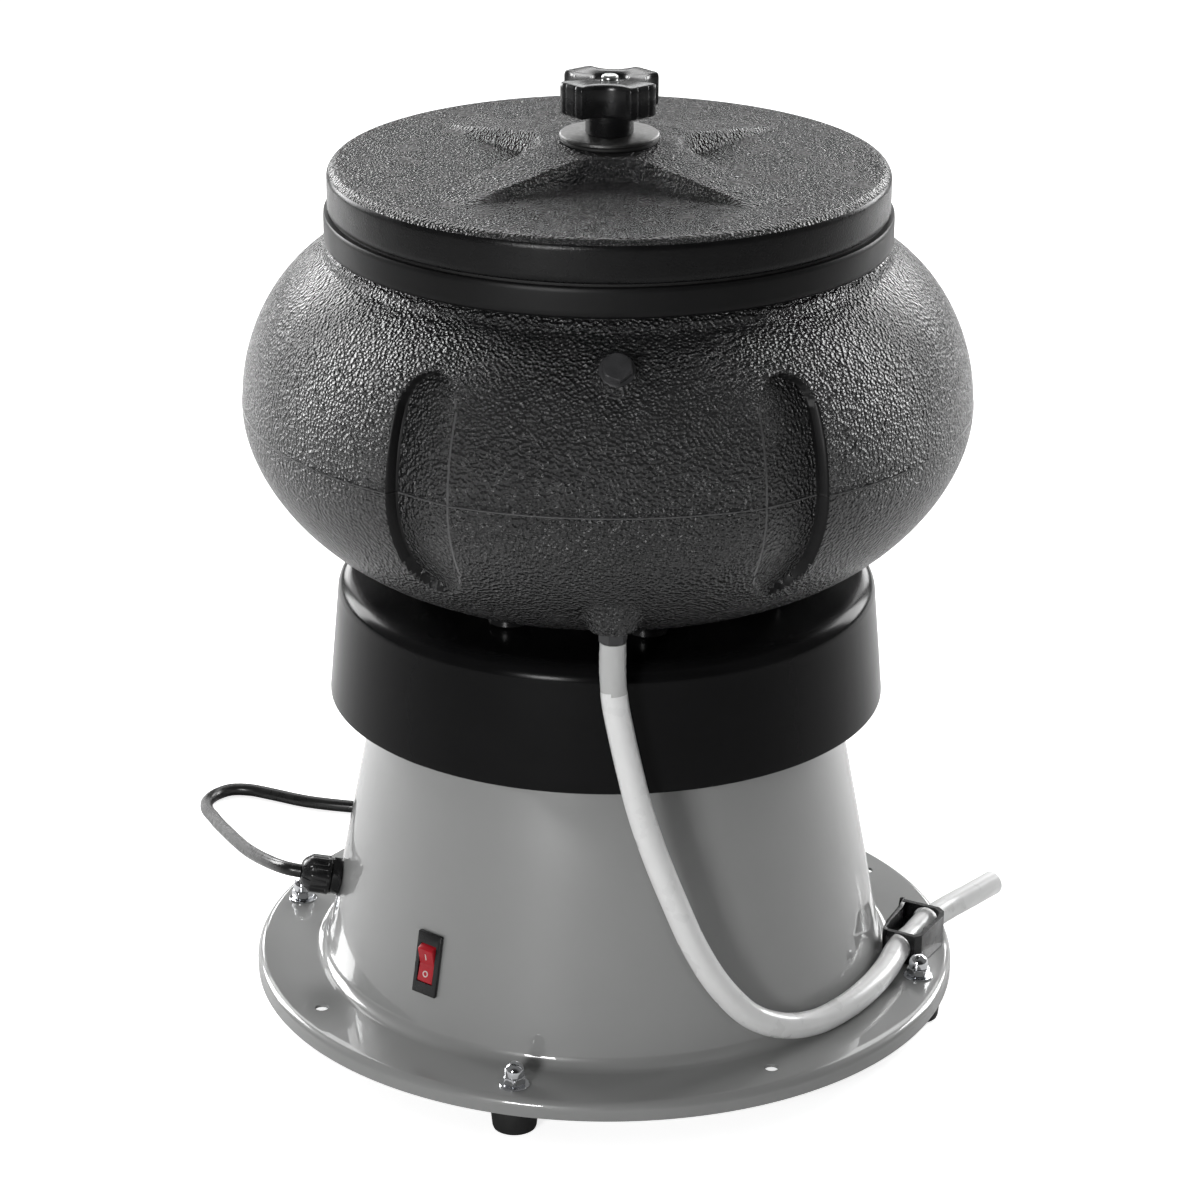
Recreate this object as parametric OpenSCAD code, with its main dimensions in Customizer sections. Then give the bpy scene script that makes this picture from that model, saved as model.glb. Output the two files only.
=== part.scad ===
// Vibratory rock tumbler: a ring-shaped tumbling bowl and its motor ride on four
// springs over a cone of sheet steel. The origin is on the floor under the centre
// axis, +Z is up, -Y is the drain side (the front). Millimetres and degrees.

/* [Base] */
// Outer radius of the foot flange
flange_r = 175; // [173:0.5:178]
// Height of the top of the flange above the floor
flange_z = 21.8; // [20.5:0.1:23]
// Radius of the cone where it meets the flange
cone_foot_r = 139; // [138:0.25:140]
// Radius of the cone at its top deck
cone_top_r = 113; // [111:0.5:115]
// Height of the top deck
deck_z = 163; // [162.5:0.25:165]
// Radius of the motor opening in the deck
deck_hole_r = 74; // [70:1:76]
// Thickness of the sheet steel
sheet = 1.5; // [1.2:0.1:1.8]

/* [Feet and flange holes] */
// Radius of the circle that the rubber feet stand on
foot_circle_r = 161.5; // [161:0.25:162]
// Radius of the circle of the bench-mounting holes
hole_circle_r = 159; // [157:0.5:161]
// Radius of a bench-mounting hole
hole_r = 3.25; // [2.75:0.25:3.5]
// Width across flats of the acorn nuts and foot screws
nut_flats = 10; // [9:0.5:10.5]

/* [Shroud] */
// Outer radius of the splash shroud at its hem
shroud_r = 135.5; // [134.5:0.5:136]
// Height of the shroud's hem
shroud_hem_z = 162; // [158:1:165]
// Height of the shroud's top web
shroud_top_z = 223; // [222:0.5:224]
// Wall of the shroud
shroud_wall = 3; // [2:0.25:3.5]

/* [Bowl] */
// Largest outer radius of the bowl
bowl_r = 175; // [174:0.5:176]
// Height of the bowl's widest line
bowl_mid_z = 309.5; // [309:0.25:310]
// Wall of the bowl
bowl_wall = 6; // [5:0.5:7]
// Depth of the four grip hollows in the bowl's side
grip_depth = 3.5; // [2:0.25:4]

/* [Lid] */
// Outer radius of the lid
lid_r = 132.5; // [132:0.25:133]
// Height of the lid's flat top
lid_top_z = 426; // [425:0.5:427]
// Height of the raised four-pointed boss at its middle
boss_top_z = 436; // [435:0.25:436]
// Wall of the lid
lid_wall = 4; // [3:0.25:5]

/* [Knob and stud] */
// Outer radius of the four-lobed knob
knob_r = 25; // [23:0.5:26]
// Radius of the knob's stem
knob_stem_r = 11.35; // [10:0.25:12]
// Height of the knob's head
knob_head_h = 15.3; // [13:0.25:15.5]
// Radius of the centre stud
stud_r = 4; // [3.5:0.1:4]

/* [Motor] */
// Outer radius of the motor
motor_r = 54; // [52:0.5:54]
// Length of the stator's stack
stack_h = 46; // [40:1:46]

/* [Cord and hose] */
// Diameter of the power cord
cord_d = 6.8; // [6:0.2:6.8]
// Outer diameter of the drain hose
hose_d = 12.7; // [12:0.1:12.7]

/* [Hidden] */
$fn = 96;
eps = 0.01;

// Directions round the axis; -90 is the front
foot_angles = [for (k = [0:3]) 90 * k - 15];
hole_angles = [for (k = [0:3]) 90 * k + 30];
spring_angles = [for (k = [0:3]) 90 * k + 45];
spacer_angles = [for (k = [0:7]) 45 * k - 77];
grip_angles = [-120, -60, 60, 120];

// Cone of the base
cone_foot_z = 28;
cone_tilt = atan((cone_foot_r - cone_top_r) / (deck_z - cone_foot_z));
function cone_r(z) = cone_foot_r - (z - cone_foot_z) * tan(cone_tilt);
rim_round = 4;
fillet_r = 7;

// Springs and seats
spring_circle_r = 94;
spring_wire_r = 1.25;
spring_r = 9.75;
spring_turns = 6;
seat_r = 12;
seat_t = 1.5;
plate_z0 = shroud_top_z - 7;
plate_t = 3.5;
plate_r = 117;

// Bowl
bowl_floor_r = 90;
bowl_low_h = 80;
bowl_top_r = 110;
bowl_top_h = 80.5;
bowl_bottom_z = bowl_mid_z - bowl_low_h;
neck_r = 131;
neck_z = 386;
lip_r = 134.3;
lip_z0 = 390.5;
lip_z1 = 404.4;
seam_gap = 1.4;
hub_foot_r = 54;
hub_top_r = 20;
hub_top_z = 401;
hub_wall = 7;
spacer_r = 86;
bolt_r = 3;

// Drain fitting and its boss
drain_x = 3;
drain_y = -141;
drain_boss_z = 247;
drain_nut_h = 6.5;
drain_barb_l = 22;
hose_r = hose_d / 2;
hose_bore_r = 4.75;

// Star boss on the lid: half its arms' width at a distance along them
star_tip = 104;
star_level_r = 40;
star_steps = [27, 30, 33, 36, 40, star_tip];
function star_half(a) = a < 40 ? 20 + 0.041 * pow(40 - a, 2) : 20 - 0.11 * (a - 40);

// Stud, washers and knob
stud_top_z = boss_top_z + 31.5;
washer_r = 23.4;
washer_t = 2;
knob_z0 = boss_top_z + 2 * washer_t + 0.05;
knob_top_z = knob_z0 + 11 + knob_head_h;
insert_r = 5.5;
run_gap = 0.06;

// Motor, from the plate downwards
bell_top_z = plate_z0;
bell_h = 14;
stack_top_z = bell_top_z - bell_h;
stack_bottom_z = stack_top_z - stack_h;
shaft_r = 6;
bearing_r = 14;
bearing_h = 9;
rotor_r = 26.4;
bore_r = 27;

// Power switch, in the base's own tilted frame
switch_angle = -129;
switch_z = 58.5;
rocker_pivot_x = -3;
rocker_tilt = 8;
rocker_r = 10.6;

// Cable gland
gland_angle = 185.2;
gland_z = 60;
gland_r = 9.8;

// Points of an arc about (cx, cy), from angle a0 to a1
function arc(cx, cy, r, a0, a1, n) =
    [for (i = [0:n]) let (a = a0 + (a1 - a0) * i / n) [cx + r * cos(a), cy + r * sin(a)]];

// The bowl's side below and above its widest line, shrunk by d, from the line outwards
function bowl_low(d, n) = [for (i = [0:n]) let (t = 90 * i / n)
    [bowl_floor_r + (bowl_r - bowl_floor_r - d) * pow(max(cos(t), 0), 1.16),
     bowl_mid_z - (bowl_low_h - d) * pow(sin(t), 1.16)]];
function bowl_high(d, n) = [for (i = [0:n]) let (t = 71.8 * i / n)
    [bowl_top_r + (bowl_r - bowl_top_r - d) * cos(t), bowl_mid_z + (bowl_top_h - d) * sin(t)]];
function reversed(list) = [for (i = [len(list) - 1:-1:0]) list[i]];

// A tube of radius r swept along a list of points, with k sides
function unit(v) = v / norm(v);
function heading(p, i) = unit(p[min(i + 1, len(p) - 1)] - p[max(i - 1, 0)]);
function side_of(d) = unit(cross(d, abs(d.z) > 0.9 ? [0, 1, 0] : [0, 0, 1]));
function ring(c, d, r, k) = let (s = side_of(d), u = cross(s, d))
    [for (j = [0:k - 1]) c + r * (cos(360 * j / k) * s + sin(360 * j / k) * u)];
module tube(p, r, k) {
    last = (len(p) - 1) * k;
    points = [for (i = [0:len(p) - 1]) each ring(p[i], heading(p, i), r, k)];
    sides = [for (i = [0:len(p) - 2]) for (j = [0:k - 1])
        [i * k + j, i * k + (j + 1) % k, (i + 1) * k + (j + 1) % k, (i + 1) * k + j]];
    ends = [[for (j = [k - 1:-1:0]) j], [for (j = [0:k - 1]) last + j]];
    polyhedron(points, concat(sides, ends), convexity = 10);
}

// Puts children round the axis, at radius r and at each angle
module around(angles, r) {
    for (a = angles)
        rotate([0, 0, a]) translate([r, 0, 0]) children();
}
// Local +X points straight out of the base's cone, local +Z runs up its slope
module on_cone(angle, z) {
    rotate([0, 0, angle]) translate([cone_r(z), 0, z]) rotate([0, -cone_tilt, 0]) children();
}
module hex(flats, h) {
    cylinder(r = flats / sqrt(3), h = h, $fn = 6);
}
module tube_ring(r_out, r_in, h) {
    difference() {
        cylinder(r = r_out, h = h);
        translate([0, 0, -1]) cylinder(r = r_in, h = h + 2);
    }
}

// ---- Base ----
module base_section(d) {
    z = flange_z - d;
    polygon(concat(
        [[flange_r - d, 13]],
        arc(flange_r - rim_round, flange_z - rim_round, rim_round - d, 0, 90, 5),
        arc(cone_foot_r + fillet_r, flange_z + fillet_r, fillet_r + d, 270, 180 + cone_tilt, 5),
        [[cone_top_r - d, deck_z - d], [0, deck_z - d], [0, 13]]));
}
module base_housing() {
    color("lightgray") difference() {
        rotate_extrude() difference() {
            base_section(0);
            base_section(sheet);
            square([deck_hole_r, deck_z + 1]);
        }
        around(hole_angles, hole_circle_r) cylinder(r = hole_r, h = 40, $fn = 48);
        around(foot_angles, foot_circle_r) cylinder(r = 3, h = 40, $fn = 48);
        on_cone(switch_angle, switch_z) translate([-10, -6.25, -13.5]) cube([20, 12.5, 27]);
        on_cone(gland_angle, gland_z) translate([-10, 0, 0]) rotate([0, 90, 0])
            cylinder(r = 6, h = 20, $fn = 48);
        translate([0, 0, deck_z - 5]) around(spring_angles, spring_circle_r)
            cylinder(r = 2.5, h = 10, $fn = 48);
    }
}
module rubber_feet() {
    color("dimgray") around(foot_angles, foot_circle_r) rotate_extrude($fn = 48)
        polygon([[3, 6], [6, 6], [6, 0], [10, 0], [11, 1.2], [11.6, 12], [9, flange_z - sheet],
            [3, flange_z - sheet]]);
}
module foot_screws() {
    color("silver") around(foot_angles, foot_circle_r) {
        translate([0, 0, 2]) cylinder(r = 5.5, h = 4, $fn = 48);
        translate([0, 0, 6]) cylinder(r = 3, h = flange_z, $fn = 48);
    }
}
module acorn_nuts() {
    color("silver") around(foot_angles, foot_circle_r) translate([0, 0, flange_z]) difference() {
        union() {
            hex(nut_flats, 5);
            translate([0, 0, 5]) cylinder(r = 4.7, h = 2.3, $fn = 48);
            translate([0, 0, 7.3]) intersection() {
                sphere(r = 4.7, $fn = 48);
                cylinder(r = 6, h = 6, $fn = 48);
            }
        }
        translate([0, 0, -1]) cylinder(r = 3, h = 7, $fn = 48);
    }
}

// ---- Power switch ----
module switch_housing() {
    color("black") on_cone(switch_angle, switch_z) difference() {
        union() {
            translate([0.3, -7.35, -15.5]) cube([1.9, 14.7, 31]);
            translate([-20, -6.1, -13.3]) cube([20.4, 12.2, 26.6]);
        }
        translate([-14, -4.9, -10.9]) cube([20, 9.8, 21.8]);
    }
}
module switch_terminals() {
    color("gold") on_cone(switch_angle, switch_z) for (s = [-7, 7])
        translate([-28, -2.4, s - 0.4]) cube([8, 4.8, 0.8]);
}
module switch_rocker() {
    color("firebrick") on_cone(switch_angle, switch_z) translate([rocker_pivot_x, 0, 0])
        rotate([0, rocker_tilt, 0]) rotate([90, 0, 0]) translate([0, 0, -4.6])
            linear_extrude(9.2) intersection() {
                circle(r = rocker_r);
                polygon([[-6, -12], [8.2, -12], [4.6, 0], [8.2, 12], [-6, 12]]);
            }
}

// ---- Cable gland ----
module gland_frame() {
    on_cone(gland_angle, gland_z) rotate([0, 90, 0]) children();
}
module gland_body() {
    color("black") gland_frame() difference() {
        union() {
            translate([0, 0, -9]) cylinder(r = 5.9, h = 12, $fn = 48);
            translate([0, 0, 0.4]) cylinder(r = gland_r, h = 5, $fn = 48);
            translate([0, 0, 5]) cylinder(r = 7.5, h = 5, $fn = 48);
        }
        translate([0, 0, -10]) cylinder(r = 4, h = 30, $fn = 48);
    }
}
module gland_dome_nut() {
    color("black") gland_frame() rotate_extrude($fn = 64) polygon(concat(
        [[7.5, 5.5], [gland_r, 5.5], [gland_r, 15.5]],
        arc(gland_r - 4.5, 15.5, 4.5, 20, 80, 4),
        [[4, 20], [4, 10.1], [7.5, 10.1]]));
}
module gland_locknut() {
    color("black") gland_frame() translate([0, 0, -5.2]) difference() {
        hex(16, 3.4);
        translate([0, 0, -1]) cylinder(r = 5.9, h = 6, $fn = 48);
    }
}

// ---- Springs ----
module spring_seat() {
    cylinder(r = seat_r, h = seat_t, $fn = 64);
    cylinder(r = 8, h = 7, $fn = 64);
}
module lower_spring_seats() {
    color("gray") translate([0, 0, deck_z]) around(spring_angles, spring_circle_r) {
        spring_seat();
        translate([0, 0, -4]) cylinder(r = 2.5, h = 5, $fn = 48);
    }
}
module upper_spring_seats() {
    color("gray") translate([0, 0, plate_z0]) mirror([0, 0, 1])
        around(spring_angles, spring_circle_r) spring_seat();
}
spring_z0 = deck_z + seat_t + spring_wire_r + 0.1;
spring_z1 = plate_z0 - seat_t - spring_wire_r - 0.1;
spring_steps = spring_turns * 12;
spring_path = [for (i = [0:spring_steps])
    [spring_r * cos(30 * i), spring_r * sin(30 * i), spring_z0 + (spring_z1 - spring_z0) * i / spring_steps]];
module spring(k) {
    color("silver") rotate([0, 0, spring_angles[k]]) translate([spring_circle_r, 0, 0])
        tube(spring_path, spring_wire_r, 6);
}

// ---- Sprung plate, shroud and bowl ----
module motor_plate() {
    color("gray") translate([0, 0, plate_z0]) difference() {
        cylinder(r = plate_r, h = plate_t);
        translate([0, 0, -1]) cylinder(r = 30, h = 10);
        around(spacer_angles, spacer_r) translate([0, 0, -1]) cylinder(r = bolt_r, h = 10, $fn = 48);
        around(spring_angles, 44) translate([0, 0, -1]) cylinder(r = 2.5, h = 10, $fn = 48);
    }
}
module splash_shroud() {
    top_r = shroud_r - 4.5;
    corner = 9;
    color("black") difference() {
        rotate_extrude() polygon(concat(
            [[shroud_r, shroud_hem_z]],
            arc(top_r - corner, shroud_top_z - corner, corner, 0, 90, 6),
            [[52, shroud_top_z], [52, shroud_top_z - 3.5]],
            arc(top_r - corner, shroud_top_z - corner, corner - shroud_wall, 90, 0, 6),
            [[shroud_r - shroud_wall, shroud_hem_z]]));
        around(spacer_angles, spacer_r) translate([0, 0, shroud_top_z - 10])
            cylinder(r = bolt_r, h = 20, $fn = 48);
    }
}
module bowl_spacers() {
    color("black") translate([0, 0, shroud_top_z]) around(spacer_angles, spacer_r)
        tube_ring(9.9, bolt_r, bowl_bottom_z - shroud_top_z);
}
module bowl_bolts() {
    color("silver") translate([0, 0, plate_z0]) around(spacer_angles, spacer_r) {
        mirror([0, 0, 1]) hex(10, 4);
        cylinder(r = bolt_r, h = bowl_bottom_z - plate_z0 + 4, $fn = 48);
    }
}
module grip_prism(h) {
    // a pointed lens, the overlap of two big circles, 30 wide and 100 high
    rotate([0, 90, 0]) linear_extrude(h) intersection() {
        translate([0, 75.8]) circle(r = 90.8);
        translate([0, -75.8]) circle(r = 90.8);
    }
}
module bowl_cavity() {
    rotate_extrude() polygon(concat(
        reversed(bowl_high(bowl_wall, 10)),
        bowl_low(bowl_wall, 12),
        [[hub_foot_r, bowl_bottom_z + bowl_wall], [hub_top_r, hub_top_z], [0, hub_top_z],
         [0, 440], [125, 440], [125, 386]]));
}
module hub_hollow() {
    rotate_extrude() polygon([[0, bowl_bottom_z - 1], [43, bowl_bottom_z - 1], [40, 250], [36, 262],
        [hub_top_r - hub_wall, hub_top_z - hub_wall], [0, hub_top_z - hub_wall]]);
}
module bowl() {
    color([0.12, 0.12, 0.12]) difference() {
        union() {
            rotate_extrude() polygon(concat(
                [[0, bowl_bottom_z]],
                reversed(bowl_low(0, 16)),
                bowl_high(0, 12),
                [[neck_r, neck_z], [neck_r, lip_z0 - 1], [lip_r - 1, lip_z0], [lip_r, lip_z0 + 1],
                 [lip_r, lip_z1], [0, lip_z1]]));
            translate([drain_x, drain_y, drain_boss_z]) cylinder(r = 12, h = 14, $fn = 48);
            side_plug_frame() translate([0, 0, -7]) cylinder(r = 9.5, h = 8, $fn = 48);
        }
        bowl_cavity();
        hub_hollow();
        cylinder(r = stud_r, h = 500);
        translate([0, 0, bowl_bottom_z - 1]) around(spacer_angles, spacer_r)
            cylinder(r = bolt_r, h = 5, $fn = 48);
        translate([drain_x, drain_y, drain_boss_z - 1]) cylinder(r = 4, h = 30, $fn = 48);
        // spot face for the drain nut
        translate([drain_x, drain_y, drain_boss_z - 12]) cylinder(r = 8, h = 12, $fn = 48);
        side_plug_frame() translate([0, 0, -30]) cylinder(r = 4, h = 40, $fn = 48);
        // grip hollows, one wall layer deep into the bowl's side
        difference() {
            for (a = grip_angles)
                rotate([0, 0, a]) translate([150, 0, bowl_mid_z + 7]) grip_prism(40);
            rotate_extrude() polygon(concat([[0, bowl_bottom_z]], reversed(bowl_low(grip_depth, 16)),
                bowl_high(grip_depth, 12), [[0, 390]]));
        }
    }
}
// Local +Z points straight out of the bowl at its small side plug
module side_plug_frame() {
    rotate([0, 0, -88.5]) translate([152.5, 0, 372.5]) rotate([0, 46, 0]) children();
}
module side_plug() {
    color("dimgray") side_plug_frame() {
        translate([0, 0, 1]) hex(12.6, 4.5);
        translate([0, 0, -7]) cylinder(r = 4, h = 8.5, $fn = 48);
    }
}
module centre_stud() {
    color("silver") translate([0, 0, hub_top_z - hub_wall - 9]) cylinder(r = stud_r,
        h = stud_top_z - hub_top_z + hub_wall + 9);
}
module stud_nuts() {
    color("silver") difference() {
        union() {
            translate([0, 0, hub_top_z - hub_wall - 6.5]) hex(13, 6.5);
            translate([0, 0, hub_top_z]) hex(13, 6.5);
        }
        cylinder(r = stud_r, h = 500);
    }
}
module drain_nut() {
    color("dimgray") translate([drain_x, drain_y, drain_boss_z - drain_nut_h]) difference() {
        hex(11.6, drain_nut_h);
        translate([0, 0, -1]) cylinder(r = 4, h = 20, $fn = 48);
    }
}
module drain_barb() {
    z0 = -drain_nut_h;
    color("dimgray") translate([drain_x, drain_y, drain_boss_z]) rotate_extrude($fn = 48) polygon([
        [2.5, 8], [4, 8], [4, z0], [3.8, z0], [3.8, z0 - 6], [4.6, z0 - 6], [3.8, z0 - 10], [4.6, z0 - 10],
        [3.8, z0 - 14], [4.6, z0 - 14], [3.6, z0 - drain_barb_l], [2.5, z0 - drain_barb_l]]);
}

// ---- Motor ----
module end_bell() {
    // a shallow cup, rim downwards, with a bearing seat at its middle
    rotate_extrude() polygon([[7, 0], [motor_r + 1, 0], [motor_r + 1, -bell_h], [motor_r - 7, -bell_h],
        [motor_r - 7, -3.5], [18, -3.5], [18, -3 - bearing_h], [bearing_r, -3 - bearing_h],
        [bearing_r, -3], [7, -3]]);
}
module bell_holes() {
    around(hole_angles, 50.5) translate([0, 0, -30]) cylinder(r = 2, h = 60, $fn = 48);
}
module upper_end_bell() {
    color("gray") translate([0, 0, bell_top_z]) difference() {
        end_bell();
        bell_holes();
        around(spring_angles, 44) translate([0, 0, -8]) cylinder(r = 2.5, h = 20, $fn = 48);
    }
}
module lower_end_bell() {
    color("gray") translate([0, 0, stack_bottom_z - bell_h]) mirror([0, 0, 1]) difference() {
        end_bell();
        bell_holes();
    }
}
module stator_core() {
    color("slategray") translate([0, 0, stack_bottom_z]) difference() {
        tube_ring(motor_r, bore_r, stack_h);
        bell_holes();
        translate([0, 0, 30]) bell_holes();
    }
}
module winding(z) {
    color("chocolate") translate([0, 0, z]) tube_ring(41, 29, 8);
}
module upper_bearing() {
    color("silver") translate([0, 0, bell_top_z - 3 - bearing_h]) tube_ring(bearing_r, shaft_r + 3, bearing_h);
}
module lower_bearing() {
    color("silver") translate([0, 0, stack_bottom_z - bell_h + 3]) tube_ring(bearing_r, shaft_r + 3, bearing_h);
}
module motor_through_bolts() {
    color("silver") around(hole_angles, 50.5) {
        translate([0, 0, stack_bottom_z - bell_h - 3]) cylinder(r = 3.5, h = 3, $fn = 48);
        translate([0, 0, stack_bottom_z - bell_h - 1]) cylinder(r = 2, h = stack_h + 2 * bell_h - 1, $fn = 48);
    }
}
module motor_screws() {
    color("silver") around(spring_angles, 44) {
        translate([0, 0, plate_z0 + plate_t]) cylinder(r = 4.2, h = 2.6, $fn = 48);
        translate([0, 0, plate_z0 - 7]) cylinder(r = 2.5, h = plate_t + 8, $fn = 48);
    }
}
module motor_shaft() {
    color("silver") {
        translate([0, 0, 100]) cylinder(r = shaft_r, h = 146);
        // the journals are a running fit in the bearings
        for (z = [bell_top_z - 3 - bearing_h, stack_bottom_z - bell_h + 3])
            translate([0, 0, z]) cylinder(r = shaft_r + 3 - run_gap, h = bearing_h);
    }
}
module rotor_core() {
    color("slategray") translate([0, 0, stack_bottom_z + 1]) tube_ring(rotor_r, shaft_r, stack_h - 2);
}
module half_weight(r, h) {
    // a heavy half disc clamped on the shaft by its round collar
    difference() {
        union() {
            intersection() {
                cylinder(r = r, h = h);
                translate([-r, 0, -1]) cube([2 * r, r, h + 2]);
            }
            cylinder(r = 11, h = h);
        }
        translate([0, 0, -1]) cylinder(r = shaft_r, h = h + 2);
        translate([0, 0, h / 2]) rotate([90, 0, 0]) cylinder(r = 2, h = 20, $fn = 48);
    }
}
module upper_weight() {
    color("dimgray") translate([0, 0, 229]) half_weight(33, 12);
}
module lower_weight() {
    color("dimgray") translate([0, 0, 104]) rotate([0, 0, 90]) half_weight(42, 14);
}
module weight_set_screws() {
    color("black") {
        translate([0, 0, 235]) rotate([90, 0, 0]) translate([0, 0, shaft_r]) cylinder(r = 2, h = 6, $fn = 48);
        translate([0, 0, 111]) rotate([0, 0, 90]) rotate([90, 0, 0]) translate([0, 0, shaft_r])
            cylinder(r = 2, h = 6, $fn = 48);
    }
}

// ---- Lid, washers and knob ----
module star() {
    // four tapering arms on the diagonals, whose sides flare into each other near the middle
    for (k = [0:3]) rotate(90 * k + 45) polygon(concat([[0, 0]],
        [for (a = star_steps) [a, star_half(a)]],
        [for (i = [len(star_steps) - 1:-1:0]) [star_steps[i], -star_half(star_steps[i])]]));
}
module star_boss(top_z) {
    // the boss is level near the middle and its arms slope down to their points
    translate([0, 0, lid_top_z - lid_wall + eps]) intersection() {
        linear_extrude(20) star();
        rotate_extrude() polygon([[0, 0], [star_tip + 2, 0], [star_tip + 2, lid_wall - eps],
            [star_level_r, top_z - lid_top_z + lid_wall - eps], [0, top_z - lid_top_z + lid_wall - eps]]);
    }
}
module lid() {
    edge = 5.5;
    z0 = lip_z1 + seam_gap;
    color([0.14, 0.14, 0.14]) difference() {
        union() {
            rotate_extrude() polygon(concat(
                [[lid_r, z0]],
                arc(lid_r - edge, lid_top_z - edge, edge, 0, 90, 6),
                [[0, lid_top_z], [0, lid_top_z - lid_wall], [119, lid_top_z - lid_wall], [120, 396],
                 [124, 396], [124.5, z0]]));
            star_boss(boss_top_z);
            translate([0, 0, hub_top_z + 8]) cylinder(r = 14, h = 20);
        }
        translate([0, 0, 380]) cylinder(r = stud_r + 1, h = 80, $fn = 48);
    }
}
module lid_gasket() {
    color("black") translate([0, 0, lip_z1 + 0.05]) tube_ring(131.3, 126.5, seam_gap - 0.05);
}
module rubber_washer() {
    color("black") translate([0, 0, boss_top_z]) tube_ring(washer_r - 0.4, stud_r + 0.5, washer_t);
}
module steel_washer() {
    color("silver") translate([0, 0, boss_top_z + washer_t]) tube_ring(washer_r, stud_r + 0.5, washer_t);
}
module knob_insert() {
    color("gold") translate([0, 0, knob_z0]) tube_ring(insert_r, stud_r + run_gap, 18);
}
module knob() {
    color("black") translate([0, 0, knob_z0]) difference() {
        union() {
            cylinder(r = knob_stem_r, h = 12);
            translate([0, 0, 11]) difference() {
                cylinder(r = knob_r, h = knob_head_h);
                around([for (k = [0:3]) 90 * k + 86], 31) translate([0, 0, -1]) cylinder(r = 14, h = 30);
            }
        }
        translate([0, 0, -1]) cylinder(r = insert_r + run_gap, h = 19.5);
        translate([0, 0, 17]) cylinder(r = stud_r + 1, h = 30);
    }
}

// ---- Drain hose and its pinch clamp ----
hose_route = [[3, -141, 240.5], [3, -141, 225], [4, -142, 212], [7, -143, 196], [11, -144, 178],
    [16, -145, 158], [23, -145, 136], [32, -144, 112], [43, -141, 85], [55, -136, 63],
    [70, -128, 44], [86, -117.5, 33.5], [101.6, -105.4, 29.2], [117, -88.5, 28.6], [130.2, -67.8, 28.6],
    [140, -46.5, 28.8], [147.1, -26.7, 29.6], [156, -9.5, 30], [165, 6.5, 29.5], [176, 22, 28.7],
    [189, 37, 28.6], [201, 51, 28.6]];
module drain_hose() {
    color([0.9, 0.9, 0.9]) tube(hose_route, hose_r, 12);
}
clamp_z0 = flange_z + 0.2;
clamp_h = 16;
latch_foot = 4;
// Local +X runs along the hose, local +Y is its left side
module clamp_frame() {
    translate([156, -9.5, clamp_z0]) rotate([0, 0, 61]) children();
}
module hose_way() {
    translate([-40, 0, 30 - clamp_z0]) rotate([0, 90, 0]) cylinder(r = hose_r + 1, h = 80, $fn = 48);
}
module hose_clamp_body() {
    color("black") clamp_frame() difference() {
        union() {
            linear_extrude(clamp_h) difference() {
                polygon([[-20, 6], [-20, -9.5], [-17, -12], [9, -12], [14, -10], [17, -6], [17, 13.5],
                    [14.5, 13.5], [14.5, -5], [12.5, -8], [8, -9.5], [-15.5, -9.5], [-17.5, -8], [-17.5, 6]]);
            }
            translate([-3, -10, 3]) linear_extrude(clamp_h - 6) polygon([[-4, 0], [4, 0], [0.8, 3], [-0.8, 3]]);
        }
        hose_way();
    }
}
module hose_clamp_latch() {
    // its foot stands clear of the fillet between the flange and the cone
    color("black") clamp_frame() translate([0, 0, latch_foot]) linear_extrude(clamp_h - latch_foot)
        polygon([[-20, 6.5], [-17.5, 6.5], [-16, 8.2], [-9, 9.2], [8, 10.2], [13.8, 11.6], [13.8, 14.3],
            [19.5, 14.3], [17.5, 16.3], [8, 12.8], [-10, 11], [-18.5, 8.9]]);
}

// ---- Power cord, its coil and its plug ----
cord_r = cord_d / 2;
floor_z = cord_r;
cord_route = [[-151.5, -13.8, 63.8], [-158, -12.5, 64.5], [-163.5, -6, 63], [-169, 4.5, 60],
    [-176, 21, 55], [-185, 47, 47], [-194.5, 79.5, 37.5], [-202, 108, 29], [-208.5, 133, 21.5], [-214, 155, 15.5],
    [-218.5, 172, 11], [-221, 187, 7], [-221.5, 199.5, 4.5], [-218, 210.5, floor_z], [-210.5, 217, floor_z],
    [-200, 217, floor_z], [-187, 211.5, floor_z], [-167, 202, floor_z], [-142, 195.5, floor_z],
    [-115, 192.5, floor_z], [-85, 192.5, floor_z], [-55, 192.5, floor_z], [-25, 192.5, floor_z],
    [0, 192.5, floor_z], [20, 192.5, floor_z]];
// The coil: four turns side by side in the lower layer, and the rest on top of them
coil_x = 40;
coil_mid_r = 37;
coil_in_r = coil_mid_r - 2 * cord_d;
coil_out_r = coil_mid_r + 2 * cord_d;
coil_y = 192.5 + coil_mid_r + 1.5 * cord_d;
lead_route = [[74, 220, 10.2], [79, 228.5, 10.3], [84, 237, 10.8], [89, 246, 11.8], [94, 254.5, 12.5]];
module power_cord() {
    color("black") tube(cord_route, cord_r, 8);
}
module cord_coil() {
    color("black") translate([coil_x, coil_y, 0]) tube_ring(coil_out_r, coil_in_r, 2 * cord_d);
}
module coil_tie() {
    // a flat strap round the coil's turns, on the side away from the object
    color("dimgray") translate([coil_x, coil_y, 0]) rotate([0, 0, 165])
        translate([coil_in_r - 1.6, -3, 0.02]) difference() {
            cube([coil_out_r - coil_in_r + 3.2, 6, 2 * cord_d + 1.4]);
            translate([1.3, -1, -1]) cube([coil_out_r - coil_in_r + 0.6, 8, 2 * cord_d + 1.2]);
        }
}
module plug_lead() {
    color("black") tube(lead_route, cord_r, 8);
}
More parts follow.
